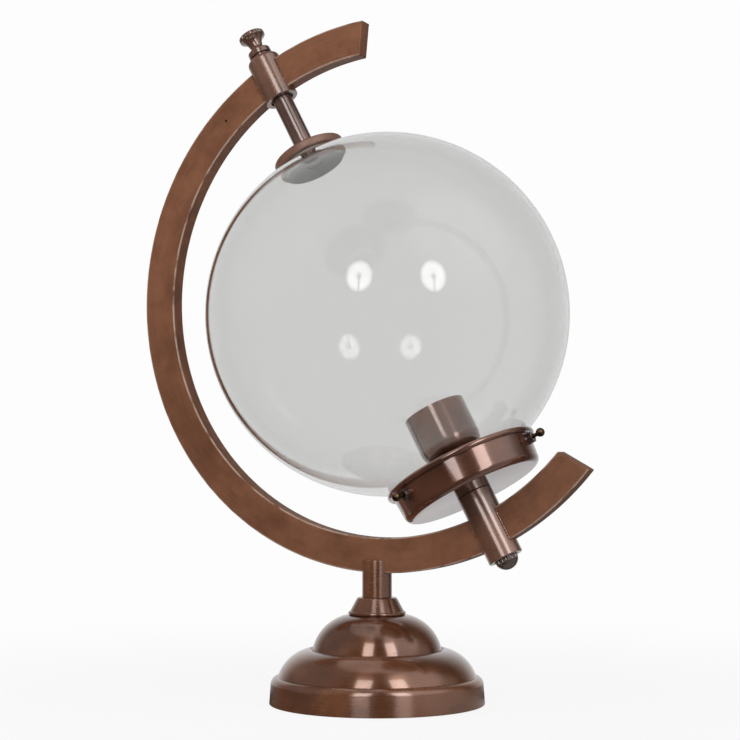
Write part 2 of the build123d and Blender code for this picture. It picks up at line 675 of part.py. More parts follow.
# Finial insert: a threaded plug set up the sleeve's lower end, which takes the finial's shank
with BuildPart() as finial_insert:
    with BuildSketch(LAMP.offset(finial_seat)):
        Circle(sleeve_bore - FIT)
        Circle(FINIAL_SHANK / 2 + RUN, mode=Mode.SUBTRACT)
    extrude(amount=INSERT_LENGTH)
pieces["finial_insert"] = finial_insert

# Finial: a turned screw with a knurled barrel and a domed end
with BuildPart() as finial:
    with BuildSketch(SECTION):
        with BuildLine():
            Polyline(
                (0, finial_dome_top - FINIAL_DOME),
                (0, finial_top + FINIAL_SHANK_LENGTH),
                (FINIAL_SHANK / 2, finial_top + FINIAL_SHANK_LENGTH),
                (FINIAL_SHANK / 2, finial_top),
                (FINIAL_DIAMETER / 2, finial_top),
                (FINIAL_DIAMETER / 2, finial_dome_top),
            )
            dome_rise = ((FINIAL_DIAMETER / 2) ** 2 + FINIAL_DOME**2) / (2 * FINIAL_DOME)
            RadiusArc((FINIAL_DIAMETER / 2, finial_dome_top), (0, finial_dome_top - FINIAL_DOME), dome_rise)
        make_face()
    revolve(axis=LAMP_AXIS)
    with BuildSketch(LAMP.offset(finial_top)):
        with PolarLocations(FINIAL_DIAMETER / 2, FINIAL_KNURLS):
            Circle(KNURL_DEPTH)
    extrude(amount=-FINIAL_BARREL, mode=Mode.SUBTRACT)
pieces["finial"] = finial

# Nipple: a hollow threaded tube from the sleeve's insert through the gallery to the lamp holder
with BuildPart() as nipple:
    with BuildSketch(LAMP.offset(nipple_low)):
        Circle(rod_radius)
        Circle(ROD_BORE / 2, mode=Mode.SUBTRACT)
    extrude(amount=NIPPLE_LENGTH)
pieces["nipple"] = nipple

# Gallery: a spun cup with a rolled rim, drilled for the nipple and the clamping screws
with BuildPart() as gallery:
    with BuildSketch(SECTION) as gallery_section:
        with BuildLine():
            Polyline(
                (0, gallery_low),
                (gallery_floor_radius, gallery_low),
                (gallery_top_radius, bead_station),
                (0, bead_station),
                close=True,
            )
        make_face()
        fillet(gallery_section.vertices().sort_by(Axis.Y)[:2].sort_by(Axis.X)[-1], GALLERY_CORNER)
    revolve(axis=LAMP_AXIS)
    with BuildSketch(SECTION) as gallery_hollow:
        with BuildLine():
            Polyline(
                (0, gallery_floor),
                (gallery_floor_radius - GALLERY_WALL, gallery_floor),
                (gallery_top_radius - GALLERY_WALL, bead_station),
                (0, bead_station),
                close=True,
            )
        make_face()
        hollow_corner = gallery_hollow.vertices().sort_by(Axis.Y)[:2].sort_by(Axis.X)[-1]
        fillet(hollow_corner, GALLERY_CORNER - GALLERY_WALL)
    revolve(axis=LAMP_AXIS, mode=Mode.SUBTRACT)
    with BuildSketch(SECTION):
        with Locations((bead_radius, bead_station)):
            Circle(BEAD_SECTION / 2)
    revolve(axis=LAMP_AXIS)
    with BuildSketch(LAMP.offset(gallery_low)):
        Circle(rod_radius + FIT)
    extrude(amount=GALLERY_WALL, mode=Mode.SUBTRACT)
    for angle in screw_angles:
        across = screw_plane(angle)
        with BuildSketch(Plane(origin=across.origin, z_dir=across.x_dir)):
            Circle(SCREW_DIAMETER / 2 + SEAT)
        extrude(amount=gallery_top_radius, mode=Mode.SUBTRACT)
pieces["gallery"] = gallery

# Gallery bosses: ribbed bushes brazed on the gallery's wall, which guide the clamping screws
with BuildPart() as gallery_bosses:
    for angle in screw_angles:
        across = screw_plane(angle)
        with BuildSketch(across):
            with Locations((boss_seat - GALLERY_WALL, SCREW_DIAMETER / 2 + RUN)):
                Rectangle(
                    BOSS_LENGTH + GALLERY_WALL,
                    (BOSS_DIAMETER - SCREW_DIAMETER) / 2 - RUN,
                    align=(Align.MIN, Align.MIN),
                )
            rib_pitch = BOSS_LENGTH / (BOSS_GROOVE_COUNT + 1)
            for groove in range(1, BOSS_GROOVE_COUNT + 1):
                with Locations((boss_seat + groove * rib_pitch, BOSS_DIAMETER / 2)):
                    Circle(BOSS_GROOVE, mode=Mode.SUBTRACT)
        revolve(axis=Axis(across.origin, across.x_dir))
    with BuildSketch(SECTION):
        with BuildLine():
            Polyline(
                (0, gallery_low),
                (gallery_floor_radius + FIT, gallery_low),
                (gallery_top_radius + FIT, bead_station),
                (0, bead_station),
                close=True,
            )
        make_face()
    revolve(axis=LAMP_AXIS, mode=Mode.SUBTRACT)
pieces["gallery_bosses"] = gallery_bosses

# Gallery nut: clamps the gallery's floor down on the lower sleeve
with BuildPart() as gallery_nut:
    with BuildSketch(LAMP.offset(gallery_floor)):
        RegularPolygon(NUT_WIDTH / 2, 6, major_radius=False)
        Circle(rod_radius + FIT, mode=Mode.SUBTRACT)
    extrude(amount=GALLERY_NUT_HEIGHT)
pieces["gallery_nut"] = gallery_nut

# Globe gasket: a soft ring on the gallery's floor under the glass lip
with BuildPart() as globe_gasket:
    with BuildSketch(LAMP.offset(gallery_floor)):
        Circle(neck_radius)
        Circle(neck_radius - GASKET_WIDTH, mode=Mode.SUBTRACT)
    extrude(amount=GASKET_HEIGHT)
pieces["globe_gasket"] = globe_gasket

# Thumb screws: ball-headed screws that reach through the bosses and over the glass lip
for number, angle in enumerate(screw_angles, start=1):
    across = screw_plane(angle)
    with BuildPart() as thumb_screw:
        with BuildSketch(across):
            with Locations((screw_tip, 0)):
                Rectangle(screw_shoulder - screw_tip, SCREW_DIAMETER / 2, align=(Align.MIN, Align.MIN))
            with Locations((screw_shoulder, 0)):
                neck_run = ball_centre - screw_shoulder
                Rectangle(neck_run, SCREW_NECK_DIAMETER / 2, align=(Align.MIN, Align.MIN))
            with Locations((ball_centre, 0)):
                Circle(BALL_DIAMETER / 2)
                Rectangle(
                    2 * BALL_DIAMETER,
                    BALL_DIAMETER,
                    align=(Align.CENTER, Align.MAX),
                    mode=Mode.SUBTRACT,
                )
        revolve(axis=Axis(across.origin, across.x_dir))
    pieces[f"thumb_screw_{number}"] = thumb_screw

# Glass globe: a blown sphere with a short neck and an outward lip
neck_bore = neck_radius - GLASS_WALL
with BuildPart() as glass_globe:
    with BuildSketch(SECTION):
        Circle(globe_radius)
        with Locations((0, neck_end)):
            Rectangle(2 * neck_radius, globe_radius, align=(Align.CENTER, Align.MIN))
            Rectangle(2 * lip_radius, LIP_HEIGHT, align=(Align.CENTER, Align.MIN))
        Circle(globe_radius - GLASS_WALL, mode=Mode.SUBTRACT)
        with Locations((0, neck_end)):
            Rectangle(2 * neck_bore, globe_radius, align=(Align.CENTER, Align.MIN), mode=Mode.SUBTRACT)
        Rectangle(globe_radius, 4 * globe_radius, align=(Align.MAX, Align.CENTER), mode=Mode.SUBTRACT)
    revolve(axis=LAMP_AXIS)
pieces["glass_globe"] = glass_globe

# Socket cup: a spun cup with a round bottom and a threaded neck on the nipple
with BuildPart() as socket_cup:
    with BuildSketch(SECTION):
        with Locations((0, cup_centre)):
            Circle(cup_round)
            Rectangle(CUP_DIAMETER, CUP_STRAIGHT, align=(Align.CENTER, Align.MIN))
        with Locations((0, gallery_nut_top)):
            Rectangle(CUP_NECK_DIAMETER, cup_centre - gallery_nut_top, align=(Align.CENTER, Align.MIN))
        with Locations((0, cup_centre)):
            Circle(cup_inner, mode=Mode.SUBTRACT)
            Rectangle(2 * cup_inner, CUP_DIAMETER, align=(Align.CENTER, Align.MIN), mode=Mode.SUBTRACT)
        with Locations((0, gallery_nut_top)):
            Rectangle(
                ROD_DIAMETER + 2 * FIT,
                cup_centre - gallery_nut_top,
                align=(Align.CENTER, Align.MIN),
                mode=Mode.SUBTRACT,
            )
        with Locations((0, cup_rim)):
            Rectangle(2 * CUP_DIAMETER, CUP_DIAMETER, align=(Align.CENTER, Align.MIN), mode=Mode.SUBTRACT)
        with Locations((0, cup_centre)):
            Rectangle(CUP_DIAMETER, 4 * CUP_DIAMETER, align=(Align.MAX, Align.CENTER), mode=Mode.SUBTRACT)
    revolve(axis=LAMP_AXIS)
pieces["socket_cup"] = socket_cup

# Socket insulator: a porcelain body with a well for the screw shell
with BuildPart() as socket_insulator:
    with BuildSketch(LAMP.offset(holder_low)):
        Circle(cup_inner - SEAT)
    extrude(amount=HOLDER_HEIGHT)
    with BuildSketch(LAMP.offset(holder_foot)):
        Circle(HOLDER_FOOT_DIAMETER / 2)
    extrude(amount=holder_low - holder_foot)
    with BuildSketch(LAMP.offset(well_floor)):
        Circle(shell_radius + FIT)
    extrude(amount=holder_top - well_floor, mode=Mode.SUBTRACT)
    with BuildSketch(LAMP.offset(holder_foot)):
        with PolarLocations(HOLDER_SCREW_SPAN / 2, 2):
            Circle(HOLDER_SCREW / 2 + FIT)
    extrude(amount=HOLDER_SCREW_LENGTH, mode=Mode.SUBTRACT)
pieces["socket_insulator"] = socket_insulator

# Screw shell: the sleeve that takes the bulb's screw cap
with BuildPart() as screw_shell:
    with BuildSketch(LAMP.offset(shell_low)):
        Circle(shell_radius)
        Circle(SHELL_BORE / 2, mode=Mode.SUBTRACT)
    extrude(amount=SHELL_LENGTH)
pieces["screw_shell"] = screw_shell

# Centre contact: a strip with a raised button on the floor of the well
with BuildPart() as centre_contact:
    with BuildSketch(LAMP.offset(well_floor)):
        Rectangle(CONTACT_LENGTH, CONTACT_WIDTH)
    extrude(amount=CONTACT_THICKNESS)
    with BuildSketch(LAMP.offset(well_floor)):
        Circle(CONTACT_BUTTON / 2)
    extrude(amount=CONTACT_THICKNESS + CONTACT_RISE)
pieces["centre_contact"] = centre_contact

# Holder screws: clamp the lead's conductors under the insulator
with BuildPart() as holder_screws:
    with BuildSketch(LAMP.offset(holder_foot)):
        with PolarLocations(HOLDER_SCREW_SPAN / 2, 2):
            Circle(HOLDER_SCREW / 2)
    extrude(amount=HOLDER_SCREW_LENGTH)
    with BuildSketch(LAMP.offset(holder_foot)):
        with PolarLocations(HOLDER_SCREW_SPAN / 2, 2):
            Circle(HOLDER_SCREW_HEAD / 2)
    extrude(amount=-HOLDER_SCREW_HEAD_HEIGHT)
pieces["holder_screws"] = holder_screws

# Flex lead: from the terminal block up the tie rod, along the arm and up the nipple
arm_entry = arm_z - sqrt(arm_mean_radius**2 - arm_x**2)
with BuildPart() as flex_lead:
    with BuildLine(Plane.XZ) as route:
        FilletPolyline(
            (-TERMINAL_REACH, flex_low),
            (0, flex_low),
            (0, arm_entry),
            by_axis(-FLEX_SLEEVE_RUN, lower_mid),
            by_axis(0, lower_mid),
            by_axis(0, holder_foot - SEAT),
            radius=[FLEX_BASE_BEND, FLEX_STEM_BEND, FLEX_ARM_BEND, FLEX_SLEEVE_BEND],
        )
    with BuildSketch(Plane(origin=route.line @ 0, z_dir=route.line % 0)):
        Circle(flex_radius)
    sweep(path=route.line)
pieces["flex_lead"] = flex_lead

# Plunger rod: slides in the guide bushes, with a tapped foot and a stud for the knob
plate_bore = PLATE_SCREW / 2 + FIT
with BuildPart() as plunger_rod:
    with BuildSketch(SECTION):
        with BuildLine():
            Polyline(
                (plate_bore, plate_high),
                (PLUNGER_DIAMETER / 2, plate_high),
                (PLUNGER_DIAMETER / 2, plunger_top),
                (STUD_DIAMETER / 2, plunger_top),
                (STUD_DIAMETER / 2, plunger_top + STUD_LENGTH),
                (0, plunger_top + STUD_LENGTH),
                (0, plate_low + PLATE_SCREW_LENGTH + SEAT),
                (plate_bore, plate_low + PLATE_SCREW_LENGTH + SEAT),
                close=True,
            )
        make_face()
    revolve(axis=LAMP_AXIS)
pieces["plunger_rod"] = plunger_rod

# Top plate: a turned disc that presses on the globe, countersunk below for its screw
countersink = (PLATE_SCREW_HEAD - PLATE_SCREW) / 2
with BuildPart() as top_plate:
    with BuildSketch(SECTION):
        with BuildLine():
            Polyline(
                (plate_bore, plate_high),
                (PLATE_DIAMETER / 2, plate_high),
                (PLATE_DIAMETER / 2, plate_low),
                (plate_bore + countersink, plate_low),
                (plate_bore, plate_low + countersink),
                close=True,
            )
        make_face()
    revolve(axis=LAMP_AXIS)
    fillet(top_plate.edges().filter_by(GeomType.CIRCLE).group_by(SortBy.RADIUS)[-1], PLATE_ROUND)
pieces["top_plate"] = top_plate

# Plate pad: a felt ring under the plate, shaped to the glass
with BuildPart() as plate_pad:
    with BuildSketch(SECTION):
        with Locations((PAD_BORE / 2, plate_low)):
            Rectangle((PAD_DIAMETER - PAD_BORE) / 2, PAD_DIAMETER, align=(Align.MIN, Align.MAX))
        Circle(globe_radius + SEAT, mode=Mode.SUBTRACT)
    revolve(axis=LAMP_AXIS)
pieces["plate_pad"] = plate_pad

# Plate screw: a countersunk screw up into the rod's foot
with BuildPart() as plate_screw:
    with BuildSketch(SECTION):
        with BuildLine():
            Polyline(
                (0, plate_low),
                (PLATE_SCREW_HEAD / 2, plate_low),
                (PLATE_SCREW / 2, plate_low + countersink),
                (PLATE_SCREW / 2, plate_low + PLATE_SCREW_LENGTH),
                (0, plate_low + PLATE_SCREW_LENGTH),
                close=True,
            )
        make_face()
    revolve(axis=LAMP_AXIS)
pieces["plate_screw"] = plate_screw

# Top knob: a turned pull with a collar, a hollow neck and a knurled mushroom head
knob_bore = STUD_DIAMETER / 2 + RUN
knob_neck = (KNOB_NECK_DIAMETER / 2, knob_low + KNOB_NECK_RISE)
knob_collar = (KNOB_COLLAR_DIAMETER / 2 - KNOB_COLLAR_ROUND, knob_low + KNOB_COLLAR_HEIGHT)
knob_head = (KNOB_DIAMETER / 2, knob_low + KNOB_RISE)
knob_shoulder = knob_low + KNOB_RISE + KNOB_EDGE
stud_hole_top = plunger_top + STUD_LENGTH + SEAT
with BuildPart() as top_knob:
    with BuildSketch(SECTION):
        with BuildLine():
            Polyline(
                (0, stud_hole_top),
                (knob_bore, stud_hole_top),
                (knob_bore, knob_low),
                (KNOB_COLLAR_DIAMETER / 2, knob_low),
                (KNOB_COLLAR_DIAMETER / 2, knob_low + KNOB_COLLAR_HEIGHT - KNOB_COLLAR_ROUND),
                knob_collar,
            )
            SagittaArc(knob_collar, knob_neck, KNOB_HOLLOW)
            SagittaArc(knob_neck, knob_head, KNOB_HOLLOW)
            Line(knob_head, (KNOB_DIAMETER / 2, knob_shoulder))
            crown_radius = ((KNOB_DIAMETER / 2) ** 2 + KNOB_CROWN**2) / (2 * KNOB_CROWN)
            RadiusArc((KNOB_DIAMETER / 2, knob_shoulder), (0, knob_shoulder + KNOB_CROWN), -crown_radius)
            Line((0, knob_shoulder + KNOB_CROWN), (0, stud_hole_top))
        make_face()
    revolve(axis=LAMP_AXIS)
    with BuildSketch(LAMP.offset(knob_low + KNOB_RISE)):
        with PolarLocations(KNOB_DIAMETER / 2, KNOB_KNURLS):
            Circle(KNURL_DEPTH)
    extrude(amount=KNOB_EDGE, mode=Mode.SUBTRACT)
pieces["top_knob"] = top_knob

os.makedirs("parts", exist_ok=True)
for name, piece in pieces.items():
    piece.part.label = name
    export_step(piece.part, f"parts/{name}.step")
print("globe centre:", globe_centre)
print("lamp axis:", axis_up)
print("screw shell:", shell_low, shell_top)
print("plate to sleeve:", upper_sleeve_low - plate_high)
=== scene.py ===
import math
import random

import bmesh
import bpy
from mathutils import Matrix, Vector


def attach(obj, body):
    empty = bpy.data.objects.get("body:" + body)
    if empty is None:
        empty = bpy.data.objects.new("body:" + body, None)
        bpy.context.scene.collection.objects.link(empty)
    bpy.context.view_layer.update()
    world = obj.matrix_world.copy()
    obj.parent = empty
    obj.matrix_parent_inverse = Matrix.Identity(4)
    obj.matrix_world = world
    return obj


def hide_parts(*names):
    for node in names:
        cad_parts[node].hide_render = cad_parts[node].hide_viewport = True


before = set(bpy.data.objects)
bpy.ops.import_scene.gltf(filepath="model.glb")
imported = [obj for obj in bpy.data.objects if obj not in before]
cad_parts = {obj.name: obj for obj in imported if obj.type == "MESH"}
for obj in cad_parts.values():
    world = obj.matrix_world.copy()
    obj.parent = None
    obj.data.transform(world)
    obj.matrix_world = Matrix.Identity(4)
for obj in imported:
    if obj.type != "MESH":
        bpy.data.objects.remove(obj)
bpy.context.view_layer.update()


# Base felt and weight: a die-cut disc of dark wool felt glued under a rough iron casting.
# The casting fills the base shell and keeps the lamp upright. Only the felt's edge can be seen.
class Tone:
    """A shader socket that can stand in sums; node() makes every node of a finish."""

    def __init__(self, tree, socket=None):
        self.tree = tree
        self.socket = socket

    def node(self, kind, settings=None, sockets=None, out=0):
        made = self.tree.nodes.new(kind)
        for key, value in (settings or {}).items():
            setattr(made, key, value)
        for key, value in (sockets or {}).items():
            if isinstance(value, Tone):
                self.tree.links.new(value.socket, made.inputs[key])
            else:
                made.inputs[key].default_value = value
        return Tone(self.tree, made.outputs[out] if made.outputs else None)

    def also(self, out):
        return Tone(self.tree, self.socket.node.outputs[out])

    def sums(self, operation, first, second):
        return self.node("ShaderNodeMath", {"operation": operation}, {0: first, 1: second})

    def __add__(self, other):
        return self.sums("ADD", self, other)

    def __sub__(self, other):
        return self.sums("SUBTRACT", self, other)

    def __rsub__(self, other):
        return self.sums("SUBTRACT", other, self)

    def __mul__(self, other):
        return self.sums("MULTIPLY", self, other)

    def __pow__(self, other):
        return self.sums("POWER", self, other)

    __radd__ = __add__
    __rmul__ = __mul__

    def size(self):
        return self.node("ShaderNodeMath", {"operation": "ABSOLUTE"}, {0: self})

    def between(self, low, high):
        return self.node("ShaderNodeMapRange", {"interpolation_type": "SMOOTHSTEP"},
                         {"Value": self, "From Min": low, "From Max": high})

    def blend(self, first, second):
        return self.node("ShaderNodeMix", {"data_type": "RGBA"}, {0: self, 6: first, 7: second}, out=2)

    def noise(self, scale, detail=4.0, rough=0.55):
        return self.node("ShaderNodeTexNoise", None,
                         {"Vector": self, "Scale": scale, "Detail": detail, "Roughness": rough})

    def bump(self, depth, strength=1.0):
        return self.node("ShaderNodeBump", None, {"Height": self, "Distance": depth, "Strength": strength})


def new_finish(name):
    made = bpy.data.materials.new(name)
    made.use_nodes = True
    made.node_tree.nodes.clear()
    tone = Tone(made.node_tree)
    return made, tone, tone.node("ShaderNodeTexCoord", out="Object")


def coat(tone, sockets):
    shader = tone.node("ShaderNodeBsdfPrincipled", None, sockets)
    tone.node("ShaderNodeOutputMaterial", None, {"Surface": shader})


def dress(finish, *nodes):
    for node in nodes:
        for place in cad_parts[node].material_slots:
            place.material = finish


felt, tone, spot = new_finish("wool_felt")
fibre = spot.noise(2400.0, 6.0, 0.7)
tuft = spot.noise(320.0, 3.0)
coat(tone, {
    "Base Color": (fibre * 0.7 + tuft * 0.3).between(0.35, 0.68).blend((0.012, 0.017, 0.013, 1),
                                                                       (0.045, 0.056, 0.044, 1)),
    "Roughness": 0.94, "Sheen Weight": 0.25, "Sheen Roughness": 0.4, "Specular IOR Level": 0.2,
    "Normal": fibre.bump(0.0004, 0.7)})
dress(felt, "base_felt")

casting, tone, spot = new_finish("rough_cast_iron")
pits = spot.noise(700.0, 6.0, 0.65)
rust = spot.noise(60.0, 5.0, 0.6).between(0.5, 0.75)
coat(tone, {
    "Base Color": rust.blend((0.045, 0.045, 0.048, 1), (0.11, 0.058, 0.034, 1)),
    "Metallic": 1 - rust * 0.8, "Roughness": 0.5 + pits * 0.3, "Normal": pits.bump(0.0006, 0.8)})
dress(casting, "ballast")


# Base rim: a spun copper-brown ring with a rounded shoulder, lacquered, over the cast weight.
# Its flange carries the lower dome, and the lead's grommet sits in its wall at the back.
def turned(section, rounds=(), place=Matrix(), steps=144, arc=4.0):
    """A lathe: spins a half-section of (radius, height, bulge) corners in millimetres, then rounds edges."""
    bm = bmesh.new()
    tip = bm.verts.new((section[0][0], 0, section[0][1]))
    shut = section[0][0] > 0 or section[-1][0] > 0
    for here, there in zip(section, section[1:] + section[:1] if shut else section[1:]):
        goal = Vector((there[0], 0, there[1]))
        bulge = here[2] if len(here) > 2 else 0
        if bulge:
            chord = goal - tip.co
            radius = (chord.length ** 2 / 4 + bulge ** 2) / (2 * abs(bulge))
            left = Vector((-chord.z, 0, chord.x)).normalized() * math.copysign(1, bulge)
            turn = 2 * math.asin(min(1, chord.length / (2 * radius)))
            swept = bmesh.ops.spin(bm, geom=[tip], cent=(tip.co + goal) / 2 - left * (radius - abs(bulge)),
                                   axis=(0, math.copysign(1, bulge), 0), angle=turn,
                                   steps=max(4, round(math.degrees(turn) / arc)))
            tip = next(item for item in swept["geom_last"] if isinstance(item, bmesh.types.BMVert))
        else:
            tip = bmesh.ops.extrude_vert_indiv(bm, verts=[tip])["verts"][0]
        tip.co = goal
    bmesh.ops.remove_doubles(bm, verts=bm.verts, dist=1e-4)
    bmesh.ops.spin(bm, geom=bm.verts[:] + bm.edges[:], cent=(0, 0, 0), axis=(0, 0, 1), angle=math.tau,
                   steps=steps, use_merge=True)
    bmesh.ops.remove_doubles(bm, verts=bm.verts, dist=1e-4)
    bmesh.ops.recalc_face_normals(bm, faces=bm.faces)
    for corner, size in rounds:
        radius, height = section[corner][:2]
        ring = [edge for edge in bm.edges if all(
            abs(v.co.z - height) < 2e-3 and abs(v.co.xy.length - radius) < 2e-3 for v in edge.verts)]
        bmesh.ops.bevel(bm, geom=ring, offset=size, offset_type="OFFSET", affect="EDGES", segments=5,
                        profile=0.5, material=-1)
    bmesh.ops.transform(bm, matrix=place, verts=bm.verts)
    return bm


def carved(bm, cutter):
    """Cuts one solid out of another and gives back what is left."""
    held = []
    for part in (bm, cutter):
        mesh = bpy.data.meshes.new("bench")
        part.to_mesh(mesh)
        part.free()
        held.append(bpy.data.objects.new("bench", mesh))
        bpy.context.scene.collection.objects.link(held[-1])
    cut = held[0].modifiers.new("cut", "BOOLEAN")
    cut.object, cut.operation, cut.solver = held[1], "DIFFERENCE", "EXACT"
    left = bmesh.new()
    left.from_object(held[0], bpy.context.evaluated_depsgraph_get())
    bmesh.ops.remove_doubles(left, verts=left.verts, dist=5e-3)
    for item in held:
        mesh = item.data
        bpy.data.objects.remove(item)
        bpy.data.meshes.remove(mesh)
    return left


def show(name, bm, body, nodes, finish, sharp=38.0):
    """Puts a finished shape on its body, in metres, in place of its CAD nodes."""
    bmesh.ops.scale(bm, vec=(0.001, 0.001, 0.001), verts=bm.verts)
    for face in bm.faces:
        face.smooth = True
    mesh = bpy.data.meshes.new(name)
    bm.to_mesh(mesh)
    bm.free()
    mesh.set_sharp_from_angle(angle=math.radians(sharp))
    mesh.materials.append(finish)
    piece = bpy.data.objects.new(name, mesh)
    bpy.context.scene.collection.objects.link(piece)
    even = piece.modifiers.new("even_normals", "WEIGHTED_NORMAL")
    even.keep_sharp = True
    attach(piece, body)
    if nodes:
        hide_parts(*nodes)
    return piece


def spun_lacquer(name, centre, tilt, deep, light, polish, gloss, stretch=0.0, metal=0.35, haze=0.12, index=2.3):
    """Lacquered brown metal turned about an axis: cloudy plating, faint turning lines, a clear coat."""
    made, tone, spot = new_finish(name)
    local = tone.node("ShaderNodeMapping", {"vector_type": "TEXTURE"},
                      {"Vector": spot, "Location": centre, "Rotation": (0, -tilt, 0)})
    x = tone.node("ShaderNodeSeparateXYZ", None, {0: local})
    y, z = x.also(1), x.also(2)
    radius = (x * x + y * y) ** 0.5
    around = tone.sums("ARCTAN2", y, x)
    lines = tone.node("ShaderNodeCombineXYZ", None, {0: radius, 1: z, 2: around * 0.0012}).noise(1500.0, 3.0)
    clouds = spot.noise(24.0, 4.0, 0.6)
    specks = spot.noise(430.0, 3.0, 0.6).between(0.60, 0.74)
    body = (clouds * 0.75 + lines * 0.25).between(0.34, 0.66).blend((*deep, 1), (*light, 1))
    dark = tuple(0.62 * part for part in deep)
    coat(tone, {
        "Base Color": (specks * 0.3).blend(body, (*dark, 1)), "Metallic": metal, "IOR": index,
        "Roughness": polish + clouds.between(0.35, 0.7) * 0.05 + lines * 0.04 + specks * 0.04,
        "Anisotropic": stretch, "Anisotropic Rotation": 0.25 + tilt / math.tau, "Coat Weight": gloss - specks * 0.1,
        "Coat Roughness": haze, "Coat IOR": 1.65, "Normal": lines.bump(0.000005, 0.5)})
    return made


RIM_LOW, RIM_TOP, RIM_FOOT, RIM_BORE, RIM_SHEET = 0.4, 18.6, 73.5, 60.0, 1.5
rim = turned([(RIM_FOOT, RIM_LOW), (72.3, RIM_TOP), (RIM_BORE, RIM_TOP), (RIM_BORE, RIM_TOP - RIM_SHEET),
              (70.9, RIM_TOP - RIM_SHEET), (RIM_FOOT - RIM_SHEET, RIM_LOW)],
             [(1, 4.6), (4, 3.0), (0, 0.3), (5, 0.3)], steps=192)
GROMMET_AT, GROMMET_HEIGHT, GROMMET_HOLE = -73.0, 8.4, 4.75
hole = bmesh.new()
bmesh.ops.create_cone(hole, cap_ends=True, segments=48, radius1=GROMMET_HOLE, radius2=GROMMET_HOLE, depth=20.0,
                      matrix=Matrix.Translation((GROMMET_AT, 0, GROMMET_HEIGHT))
                      @ Matrix.Rotation(math.pi / 2, 4, "Y"))
BASE_DEEP, BASE_LIGHT = (0.135, 0.041, 0.014), (0.285, 0.104, 0.042)
base_lacquer = spun_lacquer("base_lacquer", (0, 0, 0), 0.0, BASE_DEEP, BASE_LIGHT, polish=0.20, gloss=0.5,
                            stretch=0.86, haze=0.10)
show("rim_spun", carved(rim, hole), "stand", ["base_rim"], base_lacquer)


# Cord inlet: a black moulded rubber grommet pressed into the rim's wall, with a flange each side.
# The CAD ring is its shape already. The lead that would pass through it isn't in the photograph.
rubber, tone, spot = new_finish("moulded_rubber")
grain = spot.noise(900.0, 4.0)
coat(tone, {
    "Base Color": grain.between(0.3, 0.7).blend((0.013, 0.013, 0.013, 1), (0.028, 0.027, 0.026, 1)),
    "Roughness": 0.55 + grain * 0.2, "Normal": grain.bump(0.00008, 0.5)})
dress(rubber, "cord_grommet", "globe_gasket")


# Wiring and tie rod inside the base: a moulded terminal block with its plated screws, and the hollow
# threaded rod that pulls weight, domes, collar and stem together with a washer and nut. All hidden.
nylon, tone, spot = new_finish("moulded_nylon")
grain = spot.noise(1200.0, 3.0)
flow = spot.noise(45.0, 3.0)
coat(tone, {
    "Base Color": flow.between(0.3, 0.7).blend((0.016, 0.015, 0.014, 1), (0.030, 0.027, 0.025, 1)),
    "Roughness": 0.38 + grain * 0.18, "Normal": grain.bump(0.00005, 0.5)})
dress(nylon, "terminal_block", "guide_bush_top", "guide_bush_bottom")

zinc, tone, spot = new_finish("zinc_plated_steel")
bloom = spot.noise(260.0, 5.0, 0.6)
coat(tone, {
    "Base Color": bloom.between(0.35, 0.7).blend((0.42, 0.42, 0.41, 1), (0.60, 0.58, 0.52, 1)), "Metallic": 1.0,
    "Roughness": 0.28 + bloom * 0.2, "Normal": bloom.bump(0.00004, 0.5)})
dress(zinc, "terminal_screws", "threaded_rod", "rod_washer", "rod_nut", "stem_insert", "sleeve_insert",
      "finial_insert", "nipple", "gallery_nut", "holder_screws", "plate_screw")

jacket, tone, spot = new_finish("lead_jacket")
grain = spot.noise(800.0, 4.0)
coat(tone, {
    "Base Color": grain.between(0.3, 0.7).blend((0.035, 0.022, 0.014, 1), (0.06, 0.038, 0.025, 1)),
    "Roughness": 0.45 + grain * 0.15, "Normal": grain.bump(0.00006, 0.5)})
dress(jacket, "flex_lead")


# Lower dome: a thin shell spun from copper-brown sheet, its foot on the rim and its crest turned in to
# a flat seat for the upper dome. Lacquered glossy, so it shows the studio in soft patches.
LOWER_FOOT, SEAT_BORE, SEAT_TOP, SEAT_UNDER = 18.65, 36.0, 35.45, 34.45
lower_dome = turned([(67.7, LOWER_FOOT, -4.0), (46.4, 37.0), (45.2, SEAT_TOP), (SEAT_BORE, SEAT_TOP),
                     (SEAT_BORE, SEAT_UNDER), (44.6, SEAT_UNDER), (45.8, 35.9, 3.9), (66.3, LOWER_FOOT)],
                    [(1, 0.7), (2, 0.3)], steps=192, arc=1.6)
DOME_DEEP, DOME_LIGHT = (0.132, 0.042, 0.016), (0.275, 0.101, 0.042)
dome_lacquer = spun_lacquer("dome_lacquer", (0, 0, 0), 0.0, DOME_DEEP, DOME_LIGHT, polish=0.18, gloss=0.8,
                            stretch=0.86, metal=0.5, haze=0.07, index=2.0)
show("lower_dome_spun", lower_dome, "stand", ["lower_dome"], dome_lacquer)


# Upper dome: a second spun shell, taller and narrower, held down on the lower dome's seat by the collar.
# The same glossy copper-brown lacquer.
UPPER_FOOT, CROWN_TOP, CROWN_UNDER, TIE_HOLE = 35.55, 60.1, 59.1, 5.05
upper_dome = turned([(44.4, UPPER_FOOT, -5.3), (20.6, CROWN_TOP), (TIE_HOLE, CROWN_TOP), (TIE_HOLE, CROWN_UNDER),
                     (20.1, CROWN_UNDER, 5.2), (43.2, UPPER_FOOT)], [(1, 1.2)], steps=192, arc=1.6)
show("upper_dome_spun", upper_dome, "stand", ["upper_dome"], dome_lacquer)


